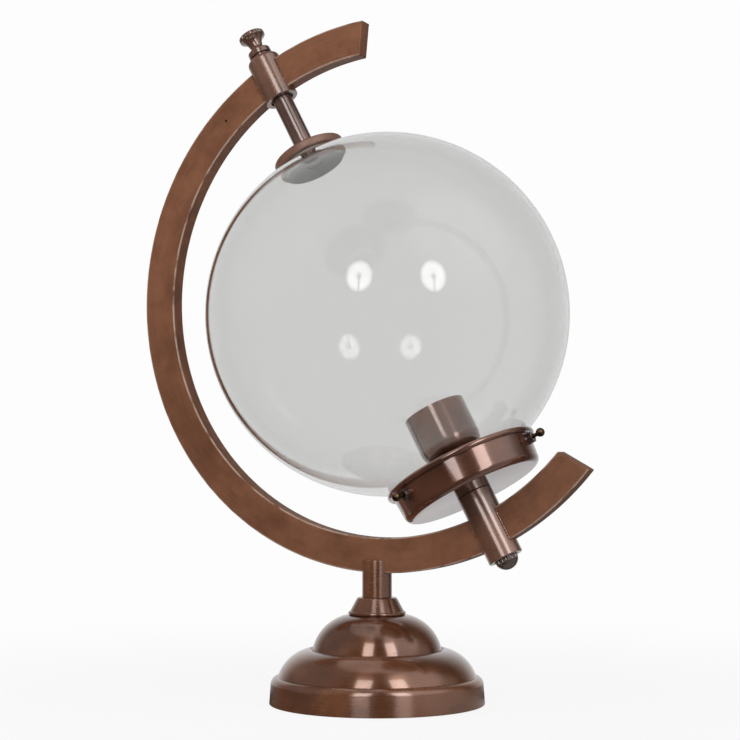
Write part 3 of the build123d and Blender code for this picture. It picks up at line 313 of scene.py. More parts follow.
# Stem collar: a solid turned cone with a bead round its foot, bored for the tie rod.
# It covers the upper dome's crown and carries the stem tube.
COLLAR_LOW, COLLAR_TOP, COLLAR_FOOT = 60.15, 72.0, 18.5
collar = turned([(TIE_HOLE, COLLAR_LOW), (COLLAR_FOOT, COLLAR_LOW, -1.28), (COLLAR_FOOT, 62.7), (13.4, COLLAR_TOP),
                 (TIE_HOLE, COLLAR_TOP)], [(3, 0.8)], arc=9.0)
show("collar_turned", collar, "stand", ["stem_collar"], base_lacquer)


# Stem tube: a short length of drawn tube, forked at its top, that straddles the arm and is brazed to it.
# The same lacquer as the rim, with its cut edges rounded over.
STEM_BORE, STEM_RADIUS, STEM_LOW, STEM_TOP = 8.2, 10.2, 72.1, 97.6
ARM_LOW, ARM_HALF, FORK_CUT, FORK_PLAY = 88.8, 6.0, 40.0, 0.1
stem = turned([(STEM_BORE, STEM_LOW), (STEM_RADIUS, STEM_LOW), (STEM_RADIUS, STEM_TOP), (STEM_BORE, STEM_TOP)],
              [(2, 0.6), (3, 0.4), (1, 0.25)], steps=96)
fork = bmesh.new()
bmesh.ops.create_cube(fork, size=1.0, matrix=Matrix.Translation((0, 0, ARM_LOW + FORK_CUT / 2 - FORK_PLAY))
                      @ Matrix.Diagonal((FORK_CUT, 2 * ARM_HALF + FORK_PLAY, FORK_CUT, 1)))
show("stem_drawn", carved(stem, fork), "stand", ["stem_tube"], base_lacquer)


# Arm: rectangular copper-brown tube bent edgewise into a ring, in three lengths brazed to the two sleeves,
# its free ends cut a little askew and capped. Brushed along its length and cloudy, with its edges made paler in
# patches: partly wear, partly a painted highlight.
ARM_CENTRE = Vector((6.0, 0.0, 280.6))
ARM_OUTER, ARM_DEPTH, END_LEAN = 191.8, 24.0, math.radians(10.5)
ARM_MEAN = ARM_OUTER - ARM_DEPTH / 2
TILT = math.radians(27.8)
GLOBE = Vector((7.899, 0.0, 265.6986))
LAMP = Matrix.Translation(GLOBE) @ Matrix.Rotation(-TILT, 4, "Y")
ACROSS = LAMP.col[0].to_3d()
SLEEVE_BITE = 10.2


def ring_point(radius, degrees):
    turn = math.radians(degrees)
    return ARM_CENTRE + Vector((math.cos(turn), 0, math.sin(turn))) * radius


def bent_bar(first, last, cuts):
    """A length of the arm between two angles, trimmed by planes given by a point and the waste side."""
    bm = bmesh.new()
    bmesh.ops.create_grid(bm, x_segments=1, y_segments=1, size=0.5)
    bmesh.ops.scale(bm, vec=(ARM_DEPTH, 2 * ARM_HALF, 1), verts=bm.verts)
    bmesh.ops.translate(bm, vec=(ARM_MEAN, 0, 0), verts=bm.verts)
    bmesh.ops.rotate(bm, cent=(0, 0, 0), matrix=Matrix.Rotation(-math.radians(first), 3, "Y"), verts=bm.verts)
    bmesh.ops.spin(bm, geom=bm.verts[:] + bm.edges[:] + bm.faces[:], cent=(0, 0, 0), axis=(0, -1, 0),
                   angle=math.radians(last - first), steps=max(8, round((last - first) / 1.5)))
    bmesh.ops.translate(bm, vec=ARM_CENTRE, verts=bm.verts)
    for point, waste in cuts:
        bmesh.ops.bisect_plane(bm, geom=bm.verts[:] + bm.edges[:] + bm.faces[:], plane_co=point, plane_no=waste,
                               clear_outer=True)
        bmesh.ops.holes_fill(bm, edges=bm.edges, sides=0)
    bmesh.ops.recalc_face_normals(bm, faces=bm.faces)
    corners = [edge for edge in bm.edges if edge.calc_face_angle(0) > 0.6]
    bmesh.ops.bevel(bm, geom=corners, offset=1.0, offset_type="OFFSET", affect="EDGES", segments=4, profile=0.5,
                    material=-1)
    return bm


def end_cut(degrees, outwards):
    """The plane of a free end: a point on it and the way to the waste."""
    half = ARM_DEPTH / 2
    lean = outwards * math.degrees(half * math.tan(END_LEAN) / ARM_MEAN)
    inner, outer = ring_point(ARM_MEAN - half, degrees - lean), ring_point(ARM_MEAN + half, degrees + lean)
    across = (outer - inner).normalized()
    return (inner + outer) / 2, Vector((across.z, 0, -across.x)) * -outwards


brushed, tone, spot = new_finish("brushed_arm_lacquer")
local = tone.node("ShaderNodeMapping", {"vector_type": "TEXTURE"},
                  {"Vector": spot, "Location": ARM_CENTRE * 0.001})
x = tone.node("ShaderNodeSeparateXYZ", None, {0: local})
y, z = x.also(1), x.also(2)
reach = (x * x + z * z) ** 0.5
along = tone.sums("ARCTAN2", z, x) * (ARM_MEAN * 0.001)
strand = tone.node("ShaderNodeCombineXYZ", None, {0: reach, 1: y, 2: along * 0.02}).noise(2600.0, 4.0, 0.6)
drift = tone.node("ShaderNodeCombineXYZ", None, {0: reach, 1: y, 2: along * 0.35}).noise(60.0, 5.0, 0.6)
clouds = spot.noise(34.0, 5.0, 0.62)
# Edges made paler in noisy patches: partly wear, partly a painted highlight along the arm's edges.
edge = (reach - ARM_MEAN * 0.001).size().between(0.0103, 0.0118) * 0.55 + y.size().between(0.0044, 0.0058) * 0.55
worn_edge_and_highlight = edge.between(0.62, 1.0) * spot.noise(90.0, 4.0).between(0.30, 0.55)
ARM_DEEP, ARM_LIGHT, STRAND_LIGHT, BARE_EDGE_AND_HIGHLIGHT = ((0.152, 0.054, 0.024, 1), (0.298, 0.122, 0.060, 1),
                                               (0.42, 0.22, 0.14, 1), (0.62, 0.45, 0.36, 1))
plating = (clouds * 0.6 + drift * 0.4).between(0.30, 0.70).blend(ARM_DEEP, ARM_LIGHT)
plating = (strand.between(0.35, 0.7) * 0.14).blend(plating, STRAND_LIGHT)
coat(tone, {
    "Base Color": (worn_edge_and_highlight * 0.75).blend(plating, BARE_EDGE_AND_HIGHLIGHT), "Metallic": 0.25, "IOR": 1.5,
    "Roughness": 0.46 + clouds * 0.12 + strand * 0.06 - worn_edge_and_highlight * 0.08, "Normal": strand.bump(0.000006, 0.5)})

TOP_END, LOW_END, DRAIN_ANGLE, DRAIN_RADIUS = 95.1, 320.1, 133.7, 1.0
bow = bent_bar(112.0, 304.0, [(GLOBE - ACROSS * SLEEVE_BITE, ACROSS)])
drain = bmesh.new()
bmesh.ops.create_cone(drain, cap_ends=True, segments=24, radius1=DRAIN_RADIUS, radius2=DRAIN_RADIUS, depth=7.0,
                      matrix=Matrix.Translation(ring_point(ARM_MEAN, DRAIN_ANGLE) + Vector((0, -ARM_HALF, 0)))
                      @ Matrix.Rotation(math.pi / 2, 4, "X"))
show("arm_bow_bent", carved(bow, drain), "stand", ["arm_bow"], brushed)
tip_top = bent_bar(90.0, 126.0, [(GLOBE + ACROSS * SLEEVE_BITE, -ACROSS), end_cut(TOP_END, -1)])
show("arm_tip_top_bent", tip_top, "stand", ["arm_tip_top", "arm_cap_top"], brushed)
tip_low = bent_bar(290.0, 326.0, [(GLOBE + ACROSS * SLEEVE_BITE, -ACROSS), end_cut(LOW_END, 1)])
show("arm_tip_low_bent", tip_low, "stand", ["arm_tip_bottom", "arm_cap_bottom"], brushed)


# Upper sleeve: a turned and bored tube brazed between the arm's bow and its top end, with a rounded
# shoulder. The sliding rod runs through it in two black bushes pressed into its ends.
AXIS_DEEP, AXIS_LIGHT = (0.160, 0.062, 0.032), (0.300, 0.130, 0.074)
CENTRE = tuple(part * 0.001 for part in GLOBE)
satin_lacquer = spun_lacquer("sleeve_lacquer", CENTRE, TILT, AXIS_DEEP, AXIS_LIGHT, polish=0.30, gloss=0.9,
                             stretch=0.6, metal=0.4, haze=0.08, index=2.5)
SLEEVE_BORE, SLEEVE_RADIUS, UPPER_ENDS = 8.5, 12.0, (178.19, 213.389)


def sleeve(low, top, rounds):
    section = [(SLEEVE_BORE, low), (SLEEVE_RADIUS, low), (SLEEVE_RADIUS, top), (SLEEVE_BORE, top)]
    return turned(section, rounds, LAMP, steps=112)


upper_sleeve = sleeve(*UPPER_ENDS, [(2, 3.3), (1, 0.5), (0, 0.4)])
show("upper_sleeve_bored", upper_sleeve, "stand", ["upper_sleeve"], satin_lacquer)


# Lower sleeve: the same tube, longer, brazed through the arm below the globe. The gallery stands on its
# upper end, and the finial is screwed into its lower end.
LOWER_ENDS = (-186.36, -138.1)
lower_sleeve = sleeve(*LOWER_ENDS, [(1, 0.7), (2, 0.4), (0, 0.4)])
show("lower_sleeve_bored", lower_sleeve, "stand", ["lower_sleeve"], satin_lacquer)


# Braze beads: lines of filler run into the corners where the arm meets the two sleeves.
# Lumpy, bright and a little silvery where they were wiped after lacquering.
def braze_bead(bm, start, end, size, seed):
    """A lumpy bead of filler between two points."""
    lumps = random.Random(seed)
    run = end - start
    steps = round(run.length / LUMP_LENGTH)
    turn = run.to_track_quat("Z", "Y").to_matrix().to_4x4()
    ring = bmesh.ops.create_circle(bm, cap_ends=True, segments=8, radius=size,
                                   matrix=Matrix.Translation(start) @ turn)
    edges = list({edge for vert in ring["verts"] for edge in vert.link_edges})
    width = 1.0
    for step in range(1, steps + 1):
        grown = bmesh.ops.extrude_edge_only(bm, edges=edges)["geom"]
        edges = [item for item in grown if isinstance(item, bmesh.types.BMEdge)]
        verts = [item for item in grown if isinstance(item, bmesh.types.BMVert)]
        bmesh.ops.translate(bm, vec=run / steps, verts=verts)
        wanted = lumps.uniform(0.65, 1.2) if step < steps else 0.4
        bmesh.ops.scale(bm, vec=(wanted / width,) * 3, space=Matrix.Translation(-(start + run * step / steps)),
                        verts=verts)
        width = wanted
    bmesh.ops.holes_fill(bm, edges=edges, sides=0)


filler, tone, spot = new_finish("braze_filler")
lump = spot.noise(900.0, 4.0, 0.6)
coat(tone, {
    "Base Color": lump.between(0.40, 0.70).blend((0.15, 0.068, 0.042, 1), (0.48, 0.33, 0.25, 1)), "Metallic": 1.0,
    "Roughness": 0.24 + lump * 0.25, "Normal": lump.bump(0.0002, 0.5)})
LUMP_LENGTH, BEAD_OUT, HALF_RUN, UPPER_JOINT, LOWER_JOINT = 0.8, 10.45, 11.0, 193.8, -165.7
THIN_BEAD, THICK_BEAD = 0.6, 0.9
corners = ((-1, UPPER_JOINT, THIN_BEAD), (1, UPPER_JOINT, THIN_BEAD), (-1, LOWER_JOINT, THIN_BEAD),
           (1, LOWER_JOINT, THICK_BEAD))
beads = bmesh.new()
for number, (across, middle, thick) in enumerate(corners):
    for front in (-1, 1):
        ends = [LAMP @ Vector((across * BEAD_OUT, front * ARM_HALF, middle + run)) for run in (-HALF_RUN, HALF_RUN)]
        braze_bead(beads, *ends, thick, 10 * number + front)
bmesh.ops.recalc_face_normals(beads, faces=beads.faces)
show("braze_beads", beads, "stand", [], filler, 80.0)


# Finial: a dark turned screw with a knurled barrel and a domed end that closes the lower sleeve.
# It turns in its threaded insert.
def knurled(bm, place, radius, low, high, count, depth):
    """Presses straight flutes into the barrel of a turned piece whose steps are four to a flute."""
    back = place.inverted()
    for vert in bm.verts:
        spot = back @ vert.co
        if abs(spot.xy.length - radius) < 0.06 and low - 0.01 < spot.z < high + 0.01:
            if round(math.atan2(spot.y, spot.x) / math.tau * count * 4) % 4 == 0:
                spot.xy *= (radius - depth) / radius
                vert.co = place @ spot
    return bm


DARK_DEEP, DARK_LIGHT = (0.040, 0.018, 0.011), (0.095, 0.046, 0.028)
dark_bronze = spun_lacquer("dark_bronze", CENTRE, TILT, DARK_DEEP, DARK_LIGHT, polish=0.20, gloss=0.4)
FINIAL_RADIUS, FINIAL_TOP, FINIAL_EDGE, FINIAL_END, FINIAL_FLUTES = 7.8, -184.4, -188.561, -194.061, 28
finial = turned([(0, FINIAL_TOP), (FINIAL_RADIUS, FINIAL_TOP), (FINIAL_RADIUS, FINIAL_EDGE, 1.515),
                 (0, FINIAL_END)], [(1, 0.4)], LAMP, steps=4 * FINIAL_FLUTES)
finial = knurled(finial, LAMP, FINIAL_RADIUS, FINIAL_EDGE - 0.039, FINIAL_TOP - 0.3, FINIAL_FLUTES, 0.42)
show("finial_knurled", finial, "finial", ["finial"], dark_bronze, 28.0)


# Gallery: a shallow cup spun from copper-brown sheet, with a rolled bead round its rim, that takes the
# globe's neck. A nut on the hollow nipple holds it on the lower sleeve. Glossy lacquer.
BEAD_RADIUS, BEAD_AT, BEAD_SIZE = 52.3, -117.4, 1.9


def on_bead(degrees):
    turn = math.radians(degrees)
    return BEAD_RADIUS + BEAD_SIZE * math.cos(turn), BEAD_AT + BEAD_SIZE * math.sin(turn)


GALLERY_DEEP, GALLERY_LIGHT = (0.122, 0.042, 0.021), (0.235, 0.088, 0.047)
glossy_lacquer = spun_lacquer("gallery_lacquer", CENTRE, TILT, GALLERY_DEEP, GALLERY_LIGHT, polish=0.15, gloss=0.9,
                              stretch=0.7, metal=0.5, haze=0.05, index=2.0)
NIPPLE_HOLE, GALLERY_LOW, GALLERY_FLOOR, BEAD_BULGE = 5.05, -138.0, -136.8, -0.758
gallery = turned([(NIPPLE_HOLE, GALLERY_LOW), (49.1, GALLERY_LOW), (*on_bead(221.7), BEAD_BULGE),
                  (*on_bead(327.8), BEAD_BULGE), (*on_bead(73.9), BEAD_BULGE), on_bead(180.0), (49.8, BEAD_AT),
                  (47.9, GALLERY_FLOOR), (NIPPLE_HOLE, GALLERY_FLOOR)],
                 [(1, 4.0), (7, 2.8)], LAMP, steps=192, arc=8.0)
show("gallery_spun", gallery, "stand", ["gallery"], glossy_lacquer)


# Screw bosses: three small turned and grooved bushes brazed into the gallery's wall, tapped for the screws.
# Dark bronze.
def screw_place(degrees):
    return (LAMP @ Matrix.Translation((0, 0, SCREW_AT)) @ Matrix.Rotation(math.radians(degrees), 4, "Z")
            @ Matrix.Rotation(math.pi / 2, 4, "Y"))


SCREW_AT, SCREW_TURNS = -124.3, (0.0, 120.0, 240.0)
TAPPED, BOSS, GROOVE, BOSS_IN, BOSS_OUT = 2.08, 3.8, 3.35, 49.6, 54.76
bosses = bmesh.new()
for degrees in SCREW_TURNS:
    boss = turned([(TAPPED, BOSS_IN), (BOSS, BOSS_IN), (BOSS, 51.7), (GROOVE, 51.9), (GROOVE, 52.25), (BOSS, 52.45),
                   (BOSS, 53.25), (GROOVE, 53.45), (GROOVE, 53.8), (BOSS, 54.0), (BOSS, BOSS_OUT),
                   (TAPPED, BOSS_OUT)], [(10, 0.2)], screw_place(degrees), steps=48)
    mesh = bpy.data.meshes.new("bench")
    boss.to_mesh(mesh)
    boss.free()
    bosses.from_mesh(mesh)
    bpy.data.meshes.remove(mesh)
show("bosses_grooved", bosses, "stand", ["gallery_bosses"], dark_bronze)


# Thumb screws: three clamping screws with ball heads that press on the globe's neck through the bosses.
# Turned, with worn golden-brown balls.
gilt, tone, spot = new_finish("worn_ball_bronze")
wear = spot.noise(520.0, 4.0, 0.6)
coat(tone, {
    "Base Color": wear.between(0.36, 0.66).blend((0.040, 0.020, 0.012, 1), (0.170, 0.090, 0.050, 1)),
    "Metallic": 1.0, "Roughness": 0.22 + wear * 0.2, "Coat Weight": 0.3, "Coat Roughness": 0.05,
    "Normal": wear.bump(0.00008, 0.5)})
SHANK, SHANK_IN, SHANK_OUT, WAIST, BALL_IN, BALL_OUT, BALL_BULGE = 2.0, 44.8, 54.36, 1.35, 57.681, 63.36, -2.307
for number, degrees in enumerate(SCREW_TURNS, start=1):
    screw = turned([(0, SHANK_IN), (SHANK, SHANK_IN), (SHANK, SHANK_OUT), (WAIST, SHANK_OUT),
                    (WAIST, BALL_IN, BALL_BULGE), (0, BALL_OUT)],
                   [(1, 0.3)], screw_place(degrees), steps=48, arc=8.0)
    show(f"thumb_screw_{number}_turned", screw, f"screw_{number}", [f"thumb_screw_{number}"], gilt)


# Socket cup: a spun copper-brown shell with a round bottom and a neck, screwed on the nipple inside the
# gallery. It hides the lamp holder. Glossy lacquer.
CUP_DEEP, CUP_LIGHT = (0.085, 0.028, 0.012), (0.185, 0.070, 0.034)
cup_lacquer = spun_lacquer("cup_lacquer", CENTRE, TILT, CUP_DEEP, CUP_LIGHT, polish=0.17, gloss=1.0, stretch=0.7,
                           metal=0.6, haze=0.05, index=2.1)
CUP_RADIUS, CUP_BORE, CUP_TOP, CUP_BEND, CUP_LOW, CUP_NECK = 21.5, 20.5, -74.644, -98.044, -132.7, 8.0
cup = turned([(CUP_NECK, CUP_LOW), (CUP_NECK, -118.0, -3.692), (CUP_RADIUS, CUP_BEND), (CUP_RADIUS, CUP_TOP),
              (CUP_BORE, CUP_TOP), (CUP_BORE, CUP_BEND, 3.707), (7.0, -117.31), (NIPPLE_HOLE, -117.31),
              (NIPPLE_HOLE, CUP_LOW)], [(3, 0.35), (4, 0.35)], LAMP, steps=128, arc=3.0)
show("socket_cup_spun", cup, "stand", ["socket_cup"], cup_lacquer)


# Lamp holder: a glazed porcelain insulator screwed into the cup, with a brass spring contact on its floor.
# Both keep their CAD shapes.
glaze, tone, spot = new_finish("glazed_porcelain")
pool = spot.noise(70.0, 4.0)
fleck = spot.noise(1400.0, 2.0).between(0.70, 0.80)
coat(tone, {
    "Base Color": (fleck * 0.5).blend(pool.between(0.3, 0.7).blend((0.70, 0.685, 0.64, 1), (0.80, 0.79, 0.75, 1)),
                                      (0.36, 0.32, 0.26, 1)),
    "Roughness": 0.10 + pool * 0.12, "Coat Weight": 0.4, "Coat Roughness": 0.04, "Normal": pool.bump(0.0003, 0.3)})
dress(glaze, "socket_insulator")


# Screw shell: a thin brass shell rolled with the round thread that takes the bulb's cap.
# The CAD bore is at the thread's crest, so the thread stands inwards from there.
SHELL_LOW, SHELL_TOP, SHELL_BORE, SHELL_SHEET = -99.14, -80.15, 13.3, 0.4
PITCH, THREAD, SHELL_STEPS = 3.629, 0.95, 96
brass, tone, spot = new_finish("rolled_brass")
smear = spot.noise(130.0, 5.0, 0.6)
coat(tone, {
    "Base Color": smear.between(0.3, 0.7).blend((0.50, 0.32, 0.12, 1), (0.72, 0.50, 0.22, 1)), "Metallic": 1.0,
    "Roughness": 0.20 + smear * 0.2, "Normal": smear.bump(0.00005, 0.4)})
dress(brass, "centre_contact")
shell = bmesh.new()
tip = shell.verts.new((SHELL_BORE - THREAD, 0, SHELL_LOW - 2 * PITCH))
for wave in range(8):
    for outwards in (1, 1, -1, -1):
        goal = tip.co + Vector((outwards * THREAD / 2, 0, PITCH / 4))
        tip = bmesh.ops.extrude_vert_indiv(shell, verts=[tip])["verts"][0]
        tip.co = goal
bmesh.ops.subdivide_edges(shell, edges=shell.edges, cuts=2, smooth=0.6)
bmesh.ops.spin(shell, geom=shell.verts[:] + shell.edges[:], cent=(0, 0, 0), axis=(0, 0, 1),
               dvec=(0, 0, PITCH / SHELL_STEPS), angle=math.tau, steps=SHELL_STEPS)
bmesh.ops.remove_doubles(shell, verts=shell.verts, dist=1e-2)
for height, side in ((SHELL_LOW, -1), (SHELL_TOP, 1)):
    bmesh.ops.bisect_plane(shell, geom=shell.verts[:] + shell.edges[:] + shell.faces[:], plane_co=(0, 0, height),
                           plane_no=(0, 0, side), clear_outer=True)
bmesh.ops.remove_doubles(shell, verts=shell.verts, dist=2e-2)
bmesh.ops.recalc_face_normals(shell, faces=shell.faces)
bmesh.ops.solidify(shell, geom=shell.faces[:], thickness=SHELL_SHEET)
bmesh.ops.recalc_face_normals(shell, faces=shell.faces)
bmesh.ops.transform(shell, matrix=LAMP, verts=shell.verts)
show("screw_shell_rolled", shell, "stand", ["screw_shell"], brass)


# Globe: a sphere of clear blown glass with a short neck and a fire-polished lip, seated on a rubber
# gasket in the gallery. Its grey tint is partly the glass's own tone and partly painted shade for the dim
# studio seen in it; fine swirls run in its wall.
SPHERE, INSIDE, NECK, LIP, NECK_END, LIP_HEIGHT = 125.0, 122.5, 44.5, 47.0, -134.8, 3.0
NECK_BORE = NECK - (SPHERE - INSIDE)


def over_sphere(size, bore):
    """Half-section bulges of the sphere from its pole round to its neck, in two arcs."""
    low = -math.sqrt(size ** 2 - bore ** 2)
    first, second = math.pi / 2, math.acos(bore / size)
    return low, size * (1 - math.cos(first / 2)), size * (1 - math.cos(second / 2))


outer_low, outer_upper, outer_under = over_sphere(SPHERE, NECK)
inner_low, inner_upper, inner_under = over_sphere(INSIDE, NECK_BORE)
globe = turned([(0, SPHERE, outer_upper), (SPHERE, 0, outer_under), (NECK, outer_low),
                (NECK, NECK_END + LIP_HEIGHT), (LIP, NECK_END + LIP_HEIGHT), (LIP, NECK_END), (NECK_BORE, NECK_END),
                (NECK_BORE, inner_low, -inner_under), (INSIDE, 0, -inner_upper), (0, INSIDE)],
               [(4, 1.2), (5, 1.2), (6, 0.8), (3, 1.0)], LAMP, steps=240, arc=1.5)
glass, tone, spot = new_finish("shade_tinted_blown_glass")
swirl = spot.noise(9.0, 0.0, 0.5)
# The grey in Base Color and in the lamps' pass-through colour: partly the glass's tone, partly painted shade.
clear = tone.node("ShaderNodeBsdfPrincipled", None, {
    "Base Color": (0.795, 0.797, 0.79, 1), "Transmission Weight": 1.0, "IOR": 1.46,
    "Roughness": 0.0, "Normal": swirl.bump(0.0006, 0.06)})
passing = tone.node("ShaderNodeBsdfTransparent", None, {"Color": (0.90, 0.902, 0.895, 1)})
shadow = tone.node("ShaderNodeLightPath", out="Is Shadow Ray")
lit = tone.node("ShaderNodeMixShader", None, {0: shadow, 1: clear, 2: passing})
tone.node("ShaderNodeOutputMaterial", None, {"Surface": lit})
globe = show("globe_blown", globe, "stand", ["glass_globe"], glass, 60.0)


# Top plate and its felt pad: a thick turned disc with rounded edges that slides down on the globe, with a
# felt ring glued under it and a countersunk screw through it into the rod.
SCREW_HOLE, COUNTERSINK, PLATE_RADIUS, PLATE_LOW, PLATE_TOP = 2.55, 5.05, 26.0, 127.2, 133.0
plate = turned([(SCREW_HOLE, PLATE_TOP), (SCREW_HOLE, 129.75), (COUNTERSINK, PLATE_LOW), (PLATE_RADIUS, PLATE_LOW),
                (PLATE_RADIUS, PLATE_TOP)], [(3, 1.2), (4, 1.2)], LAMP, steps=160)
# The sleeves' lacquer made lighter here: a painted highlight on the plate's edge.
PLATE_DEEP_HIGHLIT, PLATE_LIGHT_HIGHLIT = (0.185, 0.082, 0.052), (0.345, 0.170, 0.112)
plate_lacquer_painted_highlight = spun_lacquer("plate_lacquer_painted_highlight", CENTRE, TILT, PLATE_DEEP_HIGHLIT, PLATE_LIGHT_HIGHLIT, polish=0.42, gloss=0.0,
                             index=2.0)
show("top_plate_turned", plate, "plunger", ["top_plate"], plate_lacquer_painted_highlight)
pale_felt, tone, spot = new_finish("pale_felt")
fibre = spot.noise(2400.0, 6.0, 0.7)
coat(tone, {
    "Base Color": fibre.between(0.3, 0.7).blend((0.30, 0.29, 0.27, 1), (0.48, 0.47, 0.44, 1)),
    "Roughness": 0.94, "Sheen Weight": 0.2, "Specular IOR Level": 0.2, "Normal": fibre.bump(0.0003, 0.6)})
dress(pale_felt, "plate_pad")


# Plunger rod: a polished turned rod that slides in the upper sleeve's bushes, drilled for the plate's screw
# at its foot and with a stud for the knob at its top.
ROD_RADIUS, ROD_LOW, ROD_TOP, DRILLED, STUD_RADIUS, STUD_TOP = 7.0, 133.05, 215.789, 143.5, 3.0, 223.789
rod = turned([(0, DRILLED), (SCREW_HOLE, DRILLED), (SCREW_HOLE, ROD_LOW), (ROD_RADIUS, ROD_LOW),
              (ROD_RADIUS, ROD_TOP), (STUD_RADIUS, ROD_TOP), (STUD_RADIUS, STUD_TOP), (0, STUD_TOP)],
             [(4, 0.5)], LAMP, steps=80)
ROD_DEEP, ROD_LIGHT = (0.130, 0.060, 0.045), (0.250, 0.130, 0.098)
rod_lacquer = spun_lacquer("rod_lacquer", CENTRE, TILT, ROD_DEEP, ROD_LIGHT, polish=0.26, gloss=0.9, stretch=0.9,
                           metal=0.5, index=2.6)
show("plunger_rod_turned", rod, "plunger", ["plunger_rod"], rod_lacquer)


# Top knob: a turned pull with a collar, a waisted neck and a knurled head, screwed on the rod's stud.
# Dark glossy bronze lacquer.
KNOB_LOW, KNOB_HOLE, HOLE_TOP, COLLAR_RADIUS, HEAD_RADIUS, KNOB_FLUTES = 215.889, 3.05, 224.1, 8.35, 9.5, 36
COLLAR_EDGE, NECK_AT, HEAD_LOW, HEAD_EDGE, KNOB_TOP = (KNOB_LOW + rise for rise in (4.2, 8.2, 14.8, 17.6, 19.4))
knob = turned([(0, HOLE_TOP), (KNOB_HOLE, HOLE_TOP), (KNOB_HOLE, KNOB_LOW), (COLLAR_RADIUS, KNOB_LOW),
               (COLLAR_RADIUS, COLLAR_EDGE), (7.15, COLLAR_EDGE, 1.1), (4.8, NECK_AT, 1.1), (HEAD_RADIUS, HEAD_LOW),
               (HEAD_RADIUS, HEAD_EDGE, -0.45), (0, KNOB_TOP)], [(4, 1.0), (7, 0.4), (8, 0.5)], LAMP,
              steps=4 * KNOB_FLUTES, arc=6.0)
knob = knurled(knob, LAMP, HEAD_RADIUS, HEAD_LOW + 0.4, HEAD_EDGE - 0.4, KNOB_FLUTES, 0.4)
KNOB_DEEP, KNOB_LIGHT = (0.110, 0.045, 0.025), (0.230, 0.102, 0.060)
knob_lacquer = spun_lacquer("knob_lacquer", CENTRE, TILT, KNOB_DEEP, KNOB_LIGHT, polish=0.18, gloss=0.7,
                            stretch=0.5)
show("top_knob_knurled", knob, "knob", ["top_knob"], knob_lacquer, 28.0)


# Studio: a plain white floor that runs out to a white surround. Two umbrellas light only the glass, two tall
# softboxes light the rest from nearly the same places, and a fill reaches only matt surfaces. The dark room
# behind the camera shows between them.
def facing(tone, way, towards):
    return tone.node("ShaderNodeVectorMath", {"operation": "DOT_PRODUCT"}, {0: way, 1: towards}, out="Value")


def grey(level):
    return level, level, level, 1


def surround(tone, way):
    """The studio's walls: light behind the lamp, dark behind the camera, a pale wall on the right."""
    walls = facing(tone, way, FRONT).between(-1.0, -0.45).blend(grey(0.72), grey(0.04))
    return facing(tone, way, (0.97, 0.10, 0.22)).between(0.70, 0.92).blend(walls, grey(0.32))


def plain_rays(tone):
    """Light Path, and a mask of the rays that are to see plain white."""
    path = tone.node("ShaderNodeLightPath", out="Is Camera Ray")
    return path, tone.sums("MAXIMUM", path, path.also("Is Transmission Ray"))


def stand_at(azimuth, rise):
    turn, lift = math.radians(azimuth), math.radians(rise)
    aim = Vector((math.sin(turn) * math.cos(lift), -math.cos(turn) * math.cos(lift), math.sin(lift)))
    return Matrix.Translation(GLOBE * 0.001 + aim * LIGHT_AWAY) @ aim.to_track_quat("Z", "Y").to_matrix().to_4x4()


def set_up(name, thing, place):
    made = bpy.data.objects.new(name, thing)
    made.matrix_world = place
    bpy.context.scene.collection.objects.link(made)
    return made


FRONT, WHITE = Vector((0.435, -0.900, 0.0)), grey(0.98)
paper, tone, spot = new_finish("white_paper_floor")
paper.cycles.emission_sampling = "NONE"
flat = tone.node("ShaderNodeVectorMath", {"operation": "NORMALIZE"}, {0: spot})
distance = tone.node("ShaderNodeVectorMath", {"operation": "LENGTH"}, {0: spot}, out="Value")
path, plain = plain_rays(tone)
seen = tone.sums("MAXIMUM", plain * (0.90 + distance.between(0.10, 0.70) * 0.10), path.also("Is Glossy Ray"))
matt = tone.node("ShaderNodeBsdfDiffuse", None, {"Color": plain.blend(grey(0.45), grey(0.95))})
white = tone.node("ShaderNodeEmission", None, {"Color": plain.blend(surround(tone, flat), WHITE), "Strength": 1.0})
tone.node("ShaderNodeOutputMaterial", None,
          {"Surface": tone.node("ShaderNodeMixShader", None, {0: seen, 1: matt, 2: white})})
disc = bmesh.new()
bmesh.ops.create_circle(disc, cap_ends=True, segments=96, radius=6.0)
mesh = bpy.data.meshes.new("floor")
disc.to_mesh(mesh)
disc.free()
mesh.materials.append(paper)
floor = set_up("floor", mesh, Matrix())

CEILING, LEFT_WALL, HIGH_RIGHT = (-0.05, -0.42, 0.906), (-0.75, -0.35, 0.56), (0.75, -0.10, 0.654)
world = bpy.data.worlds.new("studio")
world.use_nodes = True
world.node_tree.nodes.clear()
tone = Tone(world.node_tree)
way = tone.node("ShaderNodeTexCoord", out="Generated")
room = facing(tone, way, CEILING).between(0.72, 0.86).blend(surround(tone, way), grey(0.07))
room = facing(tone, way, LEFT_WALL).between(0.68, 0.95).blend(room, grey(0.22))
room = facing(tone, way, HIGH_RIGHT).between(0.80, 0.95).blend(room, grey(0.8))
path, plain = plain_rays(tone)
tone.node("ShaderNodeOutputWorld", None, {"Surface": tone.node(
    "ShaderNodeBackground", None, {"Color": plain.blend(room, WHITE), "Strength": 1.0})})
bpy.context.scene.world = world

